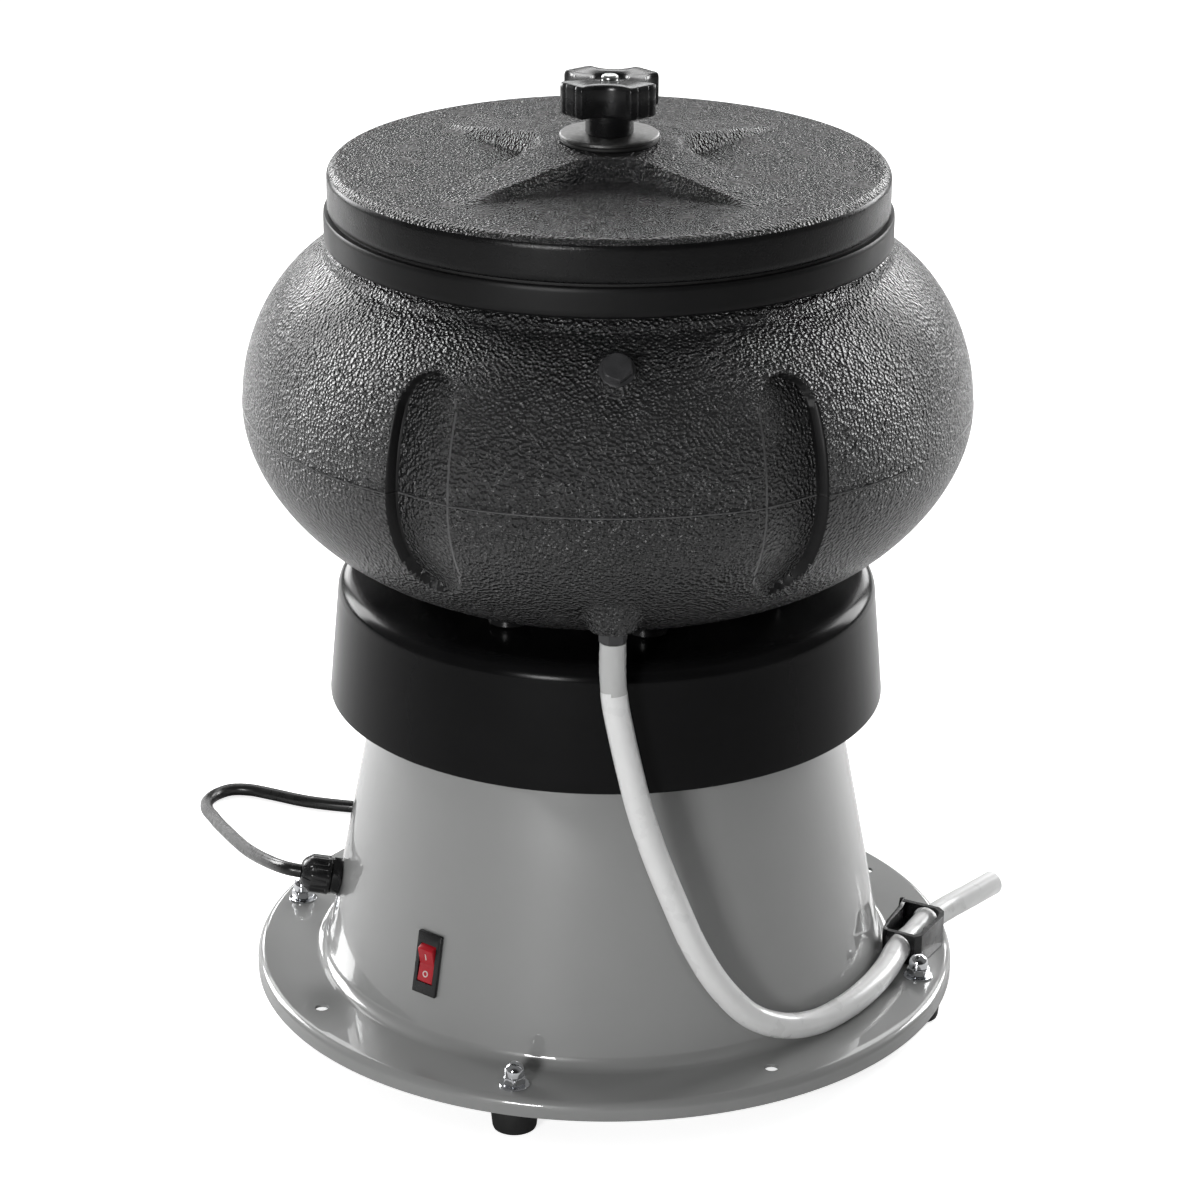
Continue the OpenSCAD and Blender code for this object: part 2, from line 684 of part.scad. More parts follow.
// Local +Y runs out of the plug's face, away from its lead
module plug_frame() {
    translate([94, 254.5, 12.5]) rotate([0, 0, -30]) children();
}
module plug_body() {
    color("black") plug_frame() {
        rotate([-90, 0, 0]) cylinder(r1 = 4.4, r2 = 6.5, h = 14, $fn = 48);
        translate([-12.5, 14, -12.5]) cube([25, 24, 22.5]);
    }
}
module plug_blades() {
    color("gold") plug_frame() for (s = [-1, 1])
        translate([s * 6.35 - 0.75, 38, -4]) cube([1.5, 15.9, 6.3]);
}
module plug_earth_pin() {
    color("gold") plug_frame() translate([0, 38, -8.3])
        rotate([-90, 0, 0]) cylinder(r = 2.4, h = 18.5, $fn = 48);
}

base_housing();
rubber_feet();
foot_screws();
acorn_nuts();
switch_housing();
switch_terminals();
switch_rocker();
gland_body();
gland_dome_nut();
gland_locknut();
lower_spring_seats();
upper_spring_seats();
spring(0);  // spring_1
spring(1);  // spring_2
spring(2);  // spring_3
spring(3);  // spring_4
motor_plate();
splash_shroud();
bowl_spacers();
bowl_bolts();
bowl();
centre_stud();
stud_nuts();
upper_end_bell();
lower_end_bell();
stator_core();
winding(stack_top_z + 0.5);  // upper_winding
winding(stack_bottom_z - 8.5);  // lower_winding
upper_bearing();
lower_bearing();
motor_through_bolts();
motor_screws();
motor_shaft();
rotor_core();
upper_weight();
lower_weight();
weight_set_screws();
side_plug();
drain_nut();
drain_barb();
lid();
lid_gasket();
rubber_washer();
steel_washer();
knob_insert();
knob();
drain_hose();
hose_clamp_body();
hose_clamp_latch();
power_cord();
cord_coil();
coil_tie();
plug_lead();
plug_body();
plug_blades();
plug_earth_pin();
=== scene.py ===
"""A vibratory rock tumbler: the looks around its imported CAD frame. Metres, +Z up, the drain side is -Y."""

import math

import bmesh
import bpy
from mathutils import Matrix, Vector, noise


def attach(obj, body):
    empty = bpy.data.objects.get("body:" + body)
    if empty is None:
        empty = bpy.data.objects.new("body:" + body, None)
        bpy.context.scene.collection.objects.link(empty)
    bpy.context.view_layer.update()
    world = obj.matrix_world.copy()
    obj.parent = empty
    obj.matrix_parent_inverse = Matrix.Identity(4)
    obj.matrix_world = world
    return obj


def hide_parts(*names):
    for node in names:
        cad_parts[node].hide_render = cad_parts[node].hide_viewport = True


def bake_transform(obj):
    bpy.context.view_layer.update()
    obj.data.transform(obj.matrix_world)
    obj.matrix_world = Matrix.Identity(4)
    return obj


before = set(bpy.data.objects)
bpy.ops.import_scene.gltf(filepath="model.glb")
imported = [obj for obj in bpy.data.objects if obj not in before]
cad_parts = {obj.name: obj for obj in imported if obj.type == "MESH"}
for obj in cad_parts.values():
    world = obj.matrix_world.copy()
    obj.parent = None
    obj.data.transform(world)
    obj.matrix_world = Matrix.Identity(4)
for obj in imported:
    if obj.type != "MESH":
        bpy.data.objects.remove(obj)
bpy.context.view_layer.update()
scene = bpy.context.scene
MM = 0.001


# ---------------------------------------------------------------- camera
camera_data = bpy.data.cameras.new("camera")
camera = bpy.data.objects.new("camera", camera_data)
scene.collection.objects.link(camera)
scene.camera = camera
camera_data.lens = 114.67
camera_data.sensor_width = 36
camera_data.shift_x = -0.00548
camera_data.clip_end = 50
camera.matrix_world = (
    Matrix.Translation((0, -1.74088, 0.89233))
    @ Matrix.Rotation(math.pi / 2 - 0.3760, 4, "X")
    @ Matrix.Rotation(0.0062, 4, "Z")
)


# ---------------------------------------------------------------- helpers
def rot(degrees, axis):
    return Matrix.Rotation(math.radians(degrees), 4, axis)


def move(x, y, z):
    return Matrix.Translation((x, y, z))


def smoothstep(a, b, x):
    t = min(1.0, max(0.0, (x - a) / (b - a)))
    return t * t * (3 - 2 * t)


def arc(cx, cz, r, a0, a1, n):
    """Points of an arc in a profile, from angle a0 to a1 in degrees."""
    angles = [math.radians(a0 + (a1 - a0) * i / n) for i in range(n + 1)]
    return [(cx + r * math.cos(a), cz + r * math.sin(a)) for a in angles]


def piece(name, bm, place=None, smooth=35, bevel=0, segments=2, subdivide=0):
    """An object from a bmesh in millimetres, put in place and scaled to metres."""
    bmesh.ops.remove_doubles(bm, verts=bm.verts, dist=1e-4)
    bmesh.ops.recalc_face_normals(bm, faces=bm.faces)
    mesh = bpy.data.meshes.new(name)
    bm.to_mesh(mesh)
    bm.free()
    mesh.transform(Matrix.Scale(MM, 4) @ (place or Matrix.Identity(4)))
    mesh.shade_smooth()
    obj = bpy.data.objects.new(name, mesh)
    scene.collection.objects.link(obj)
    if bevel:
        m = obj.modifiers.new("bevel", "BEVEL")
        m.width = bevel * MM
        m.segments = segments
        m.limit_method = "ANGLE"
        m.angle_limit = math.radians(28)
    if subdivide:
        m = obj.modifiers.new("subdivision", "SUBSURF")
        m.levels = m.render_levels = subdivide
    apply_modifiers(obj)
    obj.data.set_sharp_from_angle(angle=math.radians(smooth))
    return obj


def apply_modifiers(obj):
    if obj.modifiers:
        graph = bpy.context.evaluated_depsgraph_get()
        mesh = bpy.data.meshes.new_from_object(obj.evaluated_get(graph))
        obj.modifiers.clear()
        obj.data = mesh


def cut(obj, tools, overlapping=False):
    """Takes the tools' shapes away from obj, whose own shells may overlap, and removes the tools."""
    for tool in tools:
        m = obj.modifiers.new("cut", "BOOLEAN")
        m.operation = "DIFFERENCE"
        m.object = tool
        m.solver = "EXACT"
        m.use_self = overlapping
    bpy.context.view_layer.update()
    apply_modifiers(obj)
    for tool in tools:
        bpy.data.objects.remove(tool)
    obj.data.shade_smooth()
    obj.data.set_sharp_from_angle(angle=math.radians(35))


def add_lathe(bm, profile, sides=96, place=None, closed=True):
    """A profile of (radius, height) points turned round the axis."""
    rings = []
    for i in range(sides):
        a = 2 * math.pi * i / sides
        ring = [Vector((r * math.cos(a), r * math.sin(a), z)) for r, z in profile]
        rings.append([bm.verts.new(place @ v if place else v) for v in ring])
    steps = len(profile) if closed else len(profile) - 1
    for i in range(sides):
        here, there = rings[i], rings[(i + 1) % sides]
        for j in range(steps):
            k = (j + 1) % len(profile)
            bm.faces.new((here[j], there[j], there[k], here[k]))
    return rings


def add_prism(bm, points, z0, z1, place=None):
    """A polygon of (x, y) points raised from z0 to z1."""
    sides = [[Vector((x, y, z)) for x, y in points] for z in (z0, z1)]
    low, high = [[bm.verts.new(place @ v if place else v) for v in s] for s in sides]
    n = len(points)
    for i in range(n):
        bm.faces.new((low[i], low[(i + 1) % n], high[(i + 1) % n], high[i]))
    bm.faces.new(low[::-1])
    bm.faces.new(high)


def add_block(bm, x, y, z, place=None):
    """A box from three (low, high) pairs."""
    add_prism(bm, [(x[0], y[0]), (x[1], y[0]), (x[1], y[1]), (x[0], y[1])], *z, place)


def add_hex(bm, flats, z0, z1, chamfer, place=None, both=False):
    """A hexagonal nut or head with turned chamfers at its top, and at its foot if both."""
    corner = flats / math.sqrt(3)
    n = 72
    levels = [(z0, 0.0), (z1 - chamfer, 0.0), (z1 - chamfer * 0.45, 0.5), (z1, 1.0)]
    if both:
        levels = [(z0, 1.0), (z0 + chamfer * 0.55, 0.5), (z0 + chamfer, 0.0)] + levels[1:]
    rings = []
    for z, t in levels:
        ring = []
        for i in range(n):
            a = 2 * math.pi * i / n
            wedge = (math.degrees(a) % 60) - 30
            flat_r = flats / 2 / math.cos(math.radians(wedge))
            limit = corner - t * (corner - flats / 2 * 0.97)
            r = min(flat_r, limit)
            v = Vector((r * math.cos(a), r * math.sin(a), z))
            ring.append(bm.verts.new(place @ v if place else v))
        rings.append(ring)
    for low, high in zip(rings, rings[1:]):
        for i in range(n):
            bm.faces.new((low[i], low[(i + 1) % n], high[(i + 1) % n], high[i]))
    bm.faces.new(rings[0][::-1])
    bm.faces.new(rings[-1])


def smooth_path(points, per=6):
    """A centripetal Catmull-Rom line through the points."""
    p = [Vector(q) for q in points]
    p = [2 * p[0] - p[1]] + p + [2 * p[-1] - p[-2]]
    line = []
    for i in range(1, len(p) - 2):
        a, b, c, d = p[i - 1 : i + 3]
        t1 = (b - a).length ** 0.5
        t2 = t1 + (c - b).length ** 0.5
        t3 = t2 + (d - c).length ** 0.5
        for k in range(per):
            t = t1 + (t2 - t1) * k / per
            a1 = a * ((t1 - t) / t1) + b * (t / t1)
            a2 = b * ((t2 - t) / (t2 - t1)) + c * ((t - t1) / (t2 - t1))
            a3 = c * ((t3 - t) / (t3 - t2)) + d * ((t - t2) / (t3 - t2))
            b1 = a1 * ((t2 - t) / t2) + a2 * (t / t2)
            b2 = a2 * ((t3 - t) / (t3 - t1)) + a3 * ((t - t1) / (t3 - t1))
            line.append(b1 * ((t2 - t) / (t2 - t1)) + b2 * ((t - t1) / (t2 - t1)))
    return line + [p[-2]]


def add_tube(bm, line, radii, sides=24, caps=True):
    """A tube along a line, with a radius at each of its points."""
    up = None
    rings = []
    for i, p in enumerate(line):
        d = (line[min(i + 1, len(line) - 1)] - line[max(i - 1, 0)]).normalized()
        if up is None:
            up = d.orthogonal().normalized()
        up = (up - d * up.dot(d)).normalized()
        side = d.cross(up)
        ring = []
        for k in range(sides):
            a = 2 * math.pi * k / sides
            ring.append(bm.verts.new(p + (up * math.cos(a) + side * math.sin(a)) * radii[i]))
        rings.append(ring)
    for low, high in zip(rings, rings[1:]):
        for k in range(sides):
            bm.faces.new((low[k], low[(k + 1) % sides], high[(k + 1) % sides], high[k]))
    if caps:
        bm.faces.new(rings[0][::-1])
        bm.faces.new(rings[-1])
    return rings


# ---------------------------------------------------------------- materials
def shader(name, colour, roughness, vary=0.12, rough_vary=0.06, scale=60, bumps=(), **sockets):
    """A material with a slow change of colour and gloss over it, and layers of bump.
    Each bump is (texture, scale per metre, height in metres, strength)."""
    mat = bpy.data.materials.new(name)
    mat.use_nodes = True
    tree = mat.node_tree
    bsdf = tree.nodes["Principled BSDF"]
    place = tree.nodes.new("ShaderNodeTexCoord").outputs["Object"]
    cloud = tree.nodes.new("ShaderNodeTexNoise")
    cloud.inputs["Scale"].default_value = scale
    cloud.inputs["Detail"].default_value = 6
    tree.links.new(place, cloud.inputs["Vector"])
    ramp = tree.nodes.new("ShaderNodeValToRGB")
    ramp.color_ramp.elements[0].position = 0.3
    ramp.color_ramp.elements[1].position = 0.7
    ramp.color_ramp.elements[0].color = [c * (1 - vary) for c in colour] + [1]
    ramp.color_ramp.elements[1].color = [min(1, c * (1 + vary)) for c in colour] + [1]
    tree.links.new(cloud.outputs["Fac"], ramp.inputs["Fac"])
    tree.links.new(ramp.outputs["Color"], bsdf.inputs["Base Color"])
    gloss = tree.nodes.new("ShaderNodeMapRange")
    gloss.inputs["From Min"].default_value = 0.3
    gloss.inputs["From Max"].default_value = 0.7
    gloss.inputs["To Min"].default_value = max(0.0, roughness - rough_vary)
    gloss.inputs["To Max"].default_value = roughness + rough_vary
    tree.links.new(cloud.outputs["Fac"], gloss.inputs["Value"])
    tree.links.new(gloss.outputs["Result"], bsdf.inputs["Roughness"])
    normal = None
    for kind, bump_scale, height, strength in bumps:
        if kind == "cells":
            texture = tree.nodes.new("ShaderNodeTexVoronoi")
            texture.feature = "SMOOTH_F1"
            texture.inputs["Smoothness"].default_value = 0.35
            out = texture.outputs["Distance"]
        elif kind == "wave":
            texture = tree.nodes.new("ShaderNodeTexWave")
            texture.bands_direction = "Z"
            texture.inputs["Distortion"].default_value = 0
            out = texture.outputs["Fac"]
        else:
            texture = tree.nodes.new("ShaderNodeTexNoise")
            texture.inputs["Detail"].default_value = 3
            out = texture.outputs["Fac"]
        texture.inputs["Scale"].default_value = bump_scale
        tree.links.new(place, texture.inputs["Vector"])
        bump = tree.nodes.new("ShaderNodeBump")
        bump.inputs["Distance"].default_value = height
        bump.inputs["Strength"].default_value = strength
        tree.links.new(out, bump.inputs["Height"])
        if normal:
            tree.links.new(normal, bump.inputs["Normal"])
        normal = bump.outputs["Normal"]
    if normal:
        tree.links.new(normal, bsdf.inputs["Normal"])
    for socket, value in sockets.items():
        bsdf.inputs[socket.replace("_", " ")].default_value = value
    return mat


COAT = {"Coat_Weight": 1.0, "Coat_Roughness": 0.03}
paint = shader(
    "light_grey_paint", (0.29, 0.293, 0.29), 0.35, 0.02, 0.04, 20,
    [("noise", 330, 0.0004, 0.05), ("noise", 90, 0.0012, 0.05)], **COAT)
bowl_rubber = shader(
    "dark_bowl_rubber", (0.014, 0.014, 0.0145), 0.25, 0.25, 0.04, 90,
    [("cells", 620, 0.0016, 1.0), ("noise", 1100, 0.0005, 0.8)], Specular_IOR_Level=0.75)
# Pale colour for the seam ridge and the grips' shallow edges: a painted highlight where the side lights
# glint on these thin lines
highlight_line_rubber = shader(
    "painted_highlight_lines", (0.085, 0.085, 0.086), 0.34, 0.2, 0.05, 90, [("noise", 700, 0.0003, 0.3)])
lid_black = shader(
    "black_lid", (0.014, 0.014, 0.0145), 0.25, 0.25, 0.04, 90,
    [("cells", 720, 0.0015, 1.0), ("noise", 1300, 0.0005, 0.8)], Specular_IOR_Level=0.6)
lid_side = shader(
    "lid_side", (0.005, 0.005, 0.0053), 0.28, 0.2, 0.05, 60, [("noise", 1100, 0.0003, 0.4)],
    Specular_IOR_Level=0.24)
# The smooth lip band in its own dark colour; the same material darkens the grips' deep walls as painted
# shade
lip_and_shade_black = shader(
    "smooth_lip_and_painted_shade", (0.006, 0.006, 0.0063), 0.40, 0.2, 0.05, 40, [("noise", 700, 0.0002, 0.12)],
    Specular_IOR_Level=0.22)
shroud_black = shader(
    "black_shroud", (0.005, 0.005, 0.0053), 0.20, 0.15, 0.03, 30,
    [("noise", 260, 0.0003, 0.05)], Specular_IOR_Level=0.11)
plastic = shader(
    "black_plastic", (0.010, 0.010, 0.0105), 0.25, 0.2, 0.06, 120, [("noise", 1500, 0.0001, 0.15)])
rubber = shader(
    "black_rubber", (0.012, 0.012, 0.012), 0.6, 0.2, 0.08, 200, [("noise", 1800, 0.0002, 0.3)])
grey_plastic = shader(
    "dark_grey_plastic", (0.035, 0.035, 0.037), 0.4, 0.2, 0.08, 150, [("noise", 1400, 0.0002, 0.25)])
red = shader(
    "red_rocker", (0.44, 0.008, 0.018), 0.22, 0.08, 0.05, 300, [("noise", 2500, 0.0001, 0.08)])
mark = shader("pale_mark", (0.72, 0.66, 0.64), 0.5, 0.05, 0.05, 400)
chrome = shader(
    "chrome_nut", (0.72, 0.73, 0.75), 0.08, 0.06, 0.04, 400,
    [("noise", 900, 0.0001, 0.06)], Metallic=1.0)
steel = shader(
    "steel", (0.16, 0.16, 0.158), 0.40, 0.12, 0.1, 500, [("noise", 1600, 0.0001, 0.3)], Metallic=1.0)
zinc = shader(
    "zinc_steel", (0.52, 0.53, 0.52), 0.34, 0.15, 0.1, 220, [("noise", 1200, 0.0001, 0.25)],
    Metallic=1.0)
spring_steel = shader(
    "spring_steel", (0.36, 0.36, 0.37), 0.28, 0.15, 0.08, 400, [("noise", 2000, 0.0001, 0.3)],
    Metallic=1.0)
cast = shader(
    "cast_aluminium", (0.50, 0.50, 0.51), 0.5, 0.12, 0.1, 180, [("noise", 800, 0.0004, 0.5)],
    Metallic=0.9)
lamination = shader(
    "lamination_steel", (0.16, 0.165, 0.18), 0.45, 0.2, 0.1, 90,
    [("wave", 320, 0.0003, 0.6), ("noise", 1500, 0.0001, 0.3)], Metallic=0.85)
iron = shader(
    "weight_iron", (0.10, 0.10, 0.105), 0.55, 0.2, 0.1, 150, [("noise", 900, 0.0003, 0.5)],
    Metallic=0.8)
copper = shader(
    "copper_winding", (0.52, 0.20, 0.075), 0.34, 0.2, 0.08, 300,
    [("wave", 260, 0.0005, 0.8), ("noise", 1500, 0.0002, 0.4)], Metallic=0.8)
brass = shader(
    "brass", (0.60, 0.44, 0.17), 0.3, 0.12, 0.08, 300, [("noise", 1600, 0.0001, 0.25)], Metallic=1.0)
hose_clear = shader(
    "clear_hose", (0.92, 0.925, 0.92), 0.3, 0.02, 0.05, 80, [("noise", 220, 0.0003, 0.08)],
    Subsurface_Weight=0.3, Subsurface_Scale=0.004, Subsurface_Radius=(1.0, 1.0, 1.0),
    Coat_Weight=0.3, Coat_Roughness=0.15)
hose_over_barb = shader(
    "hose_over_barb", (0.90, 0.905, 0.90), 0.18, 0.02, 0.04, 80, [("noise", 300, 0.0003, 0.1)],
    Transmission_Weight=0.45, IOR=1.35)
jacket = shader(
    "cord_jacket", (0.009, 0.009, 0.009), 0.28, 0.2, 0.06, 150, [("noise", 700, 0.0002, 0.12)])


def dress(obj, mat, body, slot, *nodes):
    """Gives a piece its material and body, and hides the CAD nodes that it stands for. The slot argument is
    not used.
    """
    obj.data.materials.clear()
    obj.data.materials.append(mat)
    if body:
        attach(obj, body)
    if nodes:
        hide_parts(*nodes)
    return obj


# ---------------------------------------------------------------- frames of the CAD parts
FLANGE_R, FLANGE_Z, DECK_Z = 175, 21.8, 163
CONE_FOOT_R, CONE_FOOT_Z, CONE_TOP_R = 139, 28, 113
CONE_SLOPE = (CONE_FOOT_R - CONE_TOP_R) / (DECK_Z - CONE_FOOT_Z)
CONE_TILT = math.degrees(math.atan(CONE_SLOPE))
FOOT_CIRCLE_R, HOLE_CIRCLE_R, SPACER_CIRCLE_R = 161.5, 159, 86


def cone_r(z):
    return CONE_FOOT_R - (z - CONE_FOOT_Z) * CONE_SLOPE


def on_cone(angle, z):
    """Local +X points out of the base's cone, local +Z runs up its slope."""
    return rot(angle, "Z") @ move(cone_r(z), 0, z) @ rot(-CONE_TILT, "Y")


def around(angles, r, z=0):
    return [rot(a, "Z") @ move(r, 0, z) for a in angles]


FEET = [90 * k - 15 for k in range(4)]
HOLES = [90 * k + 30 for k in range(4)]
SPRINGS = [90 * k + 45 for k in range(4)]
SPACERS = [45 * k - 77 for k in range(8)]
SWITCH = on_cone(-129, 58.5)
GLAND = on_cone(185.2, 60) @ rot(90, "Y")
SIDE_PLUG = rot(-88.5, "Z") @ move(152.5, 0, 372.5) @ rot(46, "Y")
CLAMP = move(156, -9.5, 22.0) @ rot(61, "Z")
PLUG = move(94, 254.5, 12.5) @ rot(-30, "Z")
DRAIN_X, DRAIN_Y = 3, -141

# ---------------------------------------------------------------- power cord, coil and plug
CORD_R = 3.4
cord_route = [
    (-151.5, -13.8, 63.8), (-158, -12.5, 64.5), (-163.5, -6, 63), (-169, 4.5, 60),
    (-176, 21, 55), (-185, 47, 47), (-194.5, 79.5, 37.5), (-202, 108, 29), (-208.5, 133, 21.5),
    (-214, 155, 15.5), (-218.5, 172, 11), (-221, 187, 7), (-221.5, 199.5, 4.5),
    (-218, 210.5, 3.4), (-210.5, 217, 3.4), (-200, 217, 3.4), (-187, 211.5, 3.4),
    (-167, 202, 3.4), (-142, 195.5, 3.4), (-115, 192.5, 3.4), (-85, 192.5, 3.4),
    (-55, 192.5, 3.4), (-25, 192.5, 3.4), (0, 192.5, 3.4), (20, 192.5, 3.4)]
lead_route = [(74, 220, 10.2), (79, 228.5, 10.3), (84, 237, 10.8), (89, 246, 11.8), (94, 254.5, 12.5)]
COIL = Vector((40, 239.7))
COIL_TURNS = 5 + 1 / 6
PITCH = 2 * CORD_R
COIL_OUT_R = 47.2
COIL_IN_R = COIL_OUT_R - 3 * PITCH


def coil_points():
    """The winding: three turns inwards on the floor, a rise, and two turns outwards on top."""
    points = []
    steps = round(COIL_TURNS * 30)
    for i in range(steps + 1):
        t = COIL_TURNS * i / steps
        r = COIL_OUT_R - PITCH * t if t < 3 else COIL_IN_R + PITCH * (t - 3)
        z = CORD_R + PITCH * smoothstep(2.75, 3.2, t)
        a = math.radians(-90 + 360 * t)
        points.append(Vector((COIL.x + r * math.cos(a), COIL.y + r * math.sin(a), z)))
    return points


run = smooth_path(cord_route + [(40, 192.5, 3.4)], 4)[:-1]
wound = coil_points()
lead = smooth_path([wound[-1]] + lead_route[1:], 4)[1:]
cord_line = run + wound + lead
bm = bmesh.new()
add_tube(bm, cord_line, [CORD_R] * len(cord_line), 20)
cord = dress(piece("mains_lead", bm), jacket, "base", "cord_jacket",
             "power_cord", "cord_coil", "plug_lead")

# The tie is a strap right round the winding's section
TIE_L, TIE_W, TIE_T, TIE_CLEAR = 30.4, 6, 1.2, 0.02
bm = bmesh.new()
place = move(COIL.x, COIL.y, 0) @ rot(165, "Z") @ move(21.8, -TIE_W / 2, TIE_CLEAR)
for z in ((13.9, 15.01), (0, 0.03)):
    add_block(bm, (0, TIE_L), (0, TIE_W), z, place)
for x in ((0, TIE_T), (TIE_L - TIE_T, TIE_L)):
    add_block(bm, x, (0, TIE_W), (TIE_CLEAR, 14.4), place)
tie = dress(piece("cord_tie", bm, bevel=0.3), grey_plastic, "base", "dark_grey_plastic", "coil_tie")

# The plug's strain relief widens rib by rib towards the plug
RIBS, RIB_PITCH, RIB_GROWTH = 6, 3.6, 0.38
bm = bmesh.new()
sleeve = [(4.0, -9), (4.3, -9)]
for k in range(RIBS):
    y = -8 + RIB_PITCH * k
    r = 4.4 + RIB_GROWTH * k
    sleeve += [(r, y), (r + 0.1, y + 2.2), (r - 0.7, y + 2.5), (r - 0.7, y + 3.4)]
add_lathe(bm, sleeve + [(6.4, 13.8), (7.2, 14.4), (4.0, 14.4)], 48, PLUG @ rot(-90, "X"))
relief = dress(piece("plug_relief", bm), plastic, "base", "black_plastic")
bm = bmesh.new()
outline = [
    (-12.5, -7), (-12.5, 5.5), (-8.5, 10), (8.5, 10), (12.5, 5.5), (12.5, -7), (8, -12.5), (-8, -12.5)]
add_prism(bm, [(x, -z) for x, z in outline], 14, 38, PLUG @ rot(-90, "X"))
plug = dress(piece("mains_plug", bm, bevel=1.6, segments=4), plastic,
             "base", "black_plastic", "plug_body")
bm = bmesh.new()
for y in (19.5, 23, 26.5):
    for s in (-1, 1):
        add_block(bm, (s * 12.1 - 0.35, s * 12.1 + 0.35), (y, y + 1.6), (-5.5, 3.6), PLUG)
grips = dress(piece("plug_grips", bm, bevel=0.25), plastic, "base", "black_plastic")
BLADE_X, BLADE_T, PIN_R = 6.35, 1.5, 2.4
SWAP_X_Z = Matrix(((0, 0, 1, 0), (0, 1, 0, 0), (1, 0, 0, 0), (0, 0, 0, 1)))
blades_bm = bmesh.new()
for s in (-1, 1):
    outline = [(-4, 37.9), (2.3, 37.9), (2.3, 52.6), (1.2, 53.9), (-2.9, 53.9), (-4, 52.6)]
    add_prism(blades_bm, outline, s * BLADE_X - BLADE_T / 2, s * BLADE_X + BLADE_T / 2, PLUG @ SWAP_X_Z)
blades = dress(piece("plug_prongs", blades_bm, bevel=0.15), brass, "base", "brass", "plug_blades")
bm = bmesh.new()
pin = [(0, 37.9), (PIN_R, 37.9)] + arc(0, 54.1, PIN_R, 0, 90, 9)
add_lathe(bm, pin, 36, PLUG @ move(0, 0, -8.3) @ rot(-90, "X"), closed=False)
earth = dress(piece("plug_ground_pin", bm), brass, "base", "brass", "plug_earth_pin")

# ---------------------------------------------------------------- drain hose
hose_route = [
    (3, -141, 240.5), (3, -141, 225), (4, -142, 212), (7, -143, 196), (11, -144, 178),
    (16, -145, 158), (23, -145, 136), (32, -144, 112), (43, -141, 85), (55, -136, 63),
    (70, -128, 44), (86, -117.5, 33.5), (101.6, -105.4, 29.2), (117, -88.5, 28.6),
    (130.2, -67.8, 28.6), (140, -46.5, 28.8), (147.1, -26.7, 29.6), (156, -9.5, 30),
    (165, 6.5, 29.5), (176, 22, 28.7), (189, 37, 28.6), (201, 51, 28.6)]
HOSE_R, HOSE_BORE, HOSE_SIDES = 6.35, 4.75, 32
RING_PLACES = (6.5, 10.5, 14.5)
BARB_REACH, BARB_END_Z = 24, 216.5
PINCH = Vector((154.5, -12.2, 30))
hose_line = smooth_path(hose_route, 8)
radii, along = [], 0.0
for i, p in enumerate(hose_line):
    along += (p - hose_line[i - 1]).length if i else 0
    ring = sum(math.exp(-(((along - c) / 1.1) ** 2)) for c in RING_PLACES)
    nip = math.exp(-(((p - PINCH).length / 5.5) ** 2))
    shaped = along < BARB_REACH or nip > 0.01
    radii.append(HOSE_R - 0.25 + 0.25 * ring - 0.55 * nip if shaped else HOSE_R - 0.1)
bm = bmesh.new()
outside = add_tube(bm, hose_line, radii, HOSE_SIDES, caps=False)
inside = add_tube(bm, hose_line, [HOSE_BORE] * len(hose_line), HOSE_SIDES, caps=False)
for end in (0, -1):
    for k in range(HOSE_SIDES):
        j = (k + 1) % HOSE_SIDES
        bm.faces.new((outside[end][k], outside[end][j], inside[end][j], inside[end][k]))
hose = dress(piece("drain_tube", bm), hose_clear, None, "clear_hose", "drain_hose")
hose.data.materials.append(hose_over_barb)
for face in hose.data.polygons:
    if face.center.z / MM > BARB_END_Z:
        face.material_index = 1
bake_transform(hose)

# ---------------------------------------------------------------- base housing
bm = bmesh.new()
SHEET = 1.5
RIM_ROUND, FILLET, DECK_ROUND = 4, 7, 2.2


def housing_side(d):
    """The sheet's surface, d inside its outer face, from the rim's foot up to the deck's hole."""
    line = [(FLANGE_R - d, z) for z in (13, 14.5, 16.5)]
    line += arc(FLANGE_R - RIM_ROUND, FLANGE_Z - RIM_ROUND, RIM_ROUND - d, 0, 90, 12)
    line += [(r, FLANGE_Z - d) for r in (168, 160, 152)]
    line += arc(146, FLANGE_Z + FILLET, FILLET + d, 270, 180 + CONE_TILT, 14)
    steps, low = 24, 30.5
    top = DECK_Z - d - 2
    line += [(cone_r(z) - d, z) for z in [low + (top - low) * i / steps for i in range(steps)]]
    line += arc(CONE_TOP_R - DECK_ROUND, DECK_Z - DECK_ROUND, DECK_ROUND - d, 10, 90, 5)
    return line + [(r, DECK_Z - d) for r in (100, 86, 74)]


add_lathe(bm, housing_side(0) + housing_side(SHEET)[::-1], 360)
housing = piece("base_shell", bm)
tools = []
for r, angles, hole in ((HOLE_CIRCLE_R, HOLES, 3.25), (FOOT_CIRCLE_R, FEET, 3.0)):
    tool_bm = bmesh.new()
    for place in around(angles, r):
        add_lathe(tool_bm, [(0, 10), (hole, 10), (hole, 30), (0, 30)], 48, place)
    tools.append(piece("tool", tool_bm))
tool_bm = bmesh.new()
add_block(tool_bm, (-12, 8), (-6.25, 6.25), (-13.5, 13.5), SWITCH)
add_lathe(tool_bm, [(0, -12), (6, -12), (6, 8), (0, 8)], 48, GLAND)
tools.append(piece("tool", tool_bm))
cut(housing, tools)
dress(housing, paint, "base", "light_grey_paint", "base_housing")

bm = bmesh.new()
foot = [(3, 6), (6, 6), (6, 0.5), (6.5, 0), (9.3, 0), (10.1, 0.5), (10.5, 1.6), (11.2, 8), (11.6, 12),
        (11.2, 14), (9.2, 19.8), (8.6, 20.3), (3, 20.3)]
for place in around(FEET, FOOT_CIRCLE_R):
    add_lathe(bm, foot, 64, place)
dress(piece("feet", bm), rubber, "base", "black_rubber", "rubber_feet")

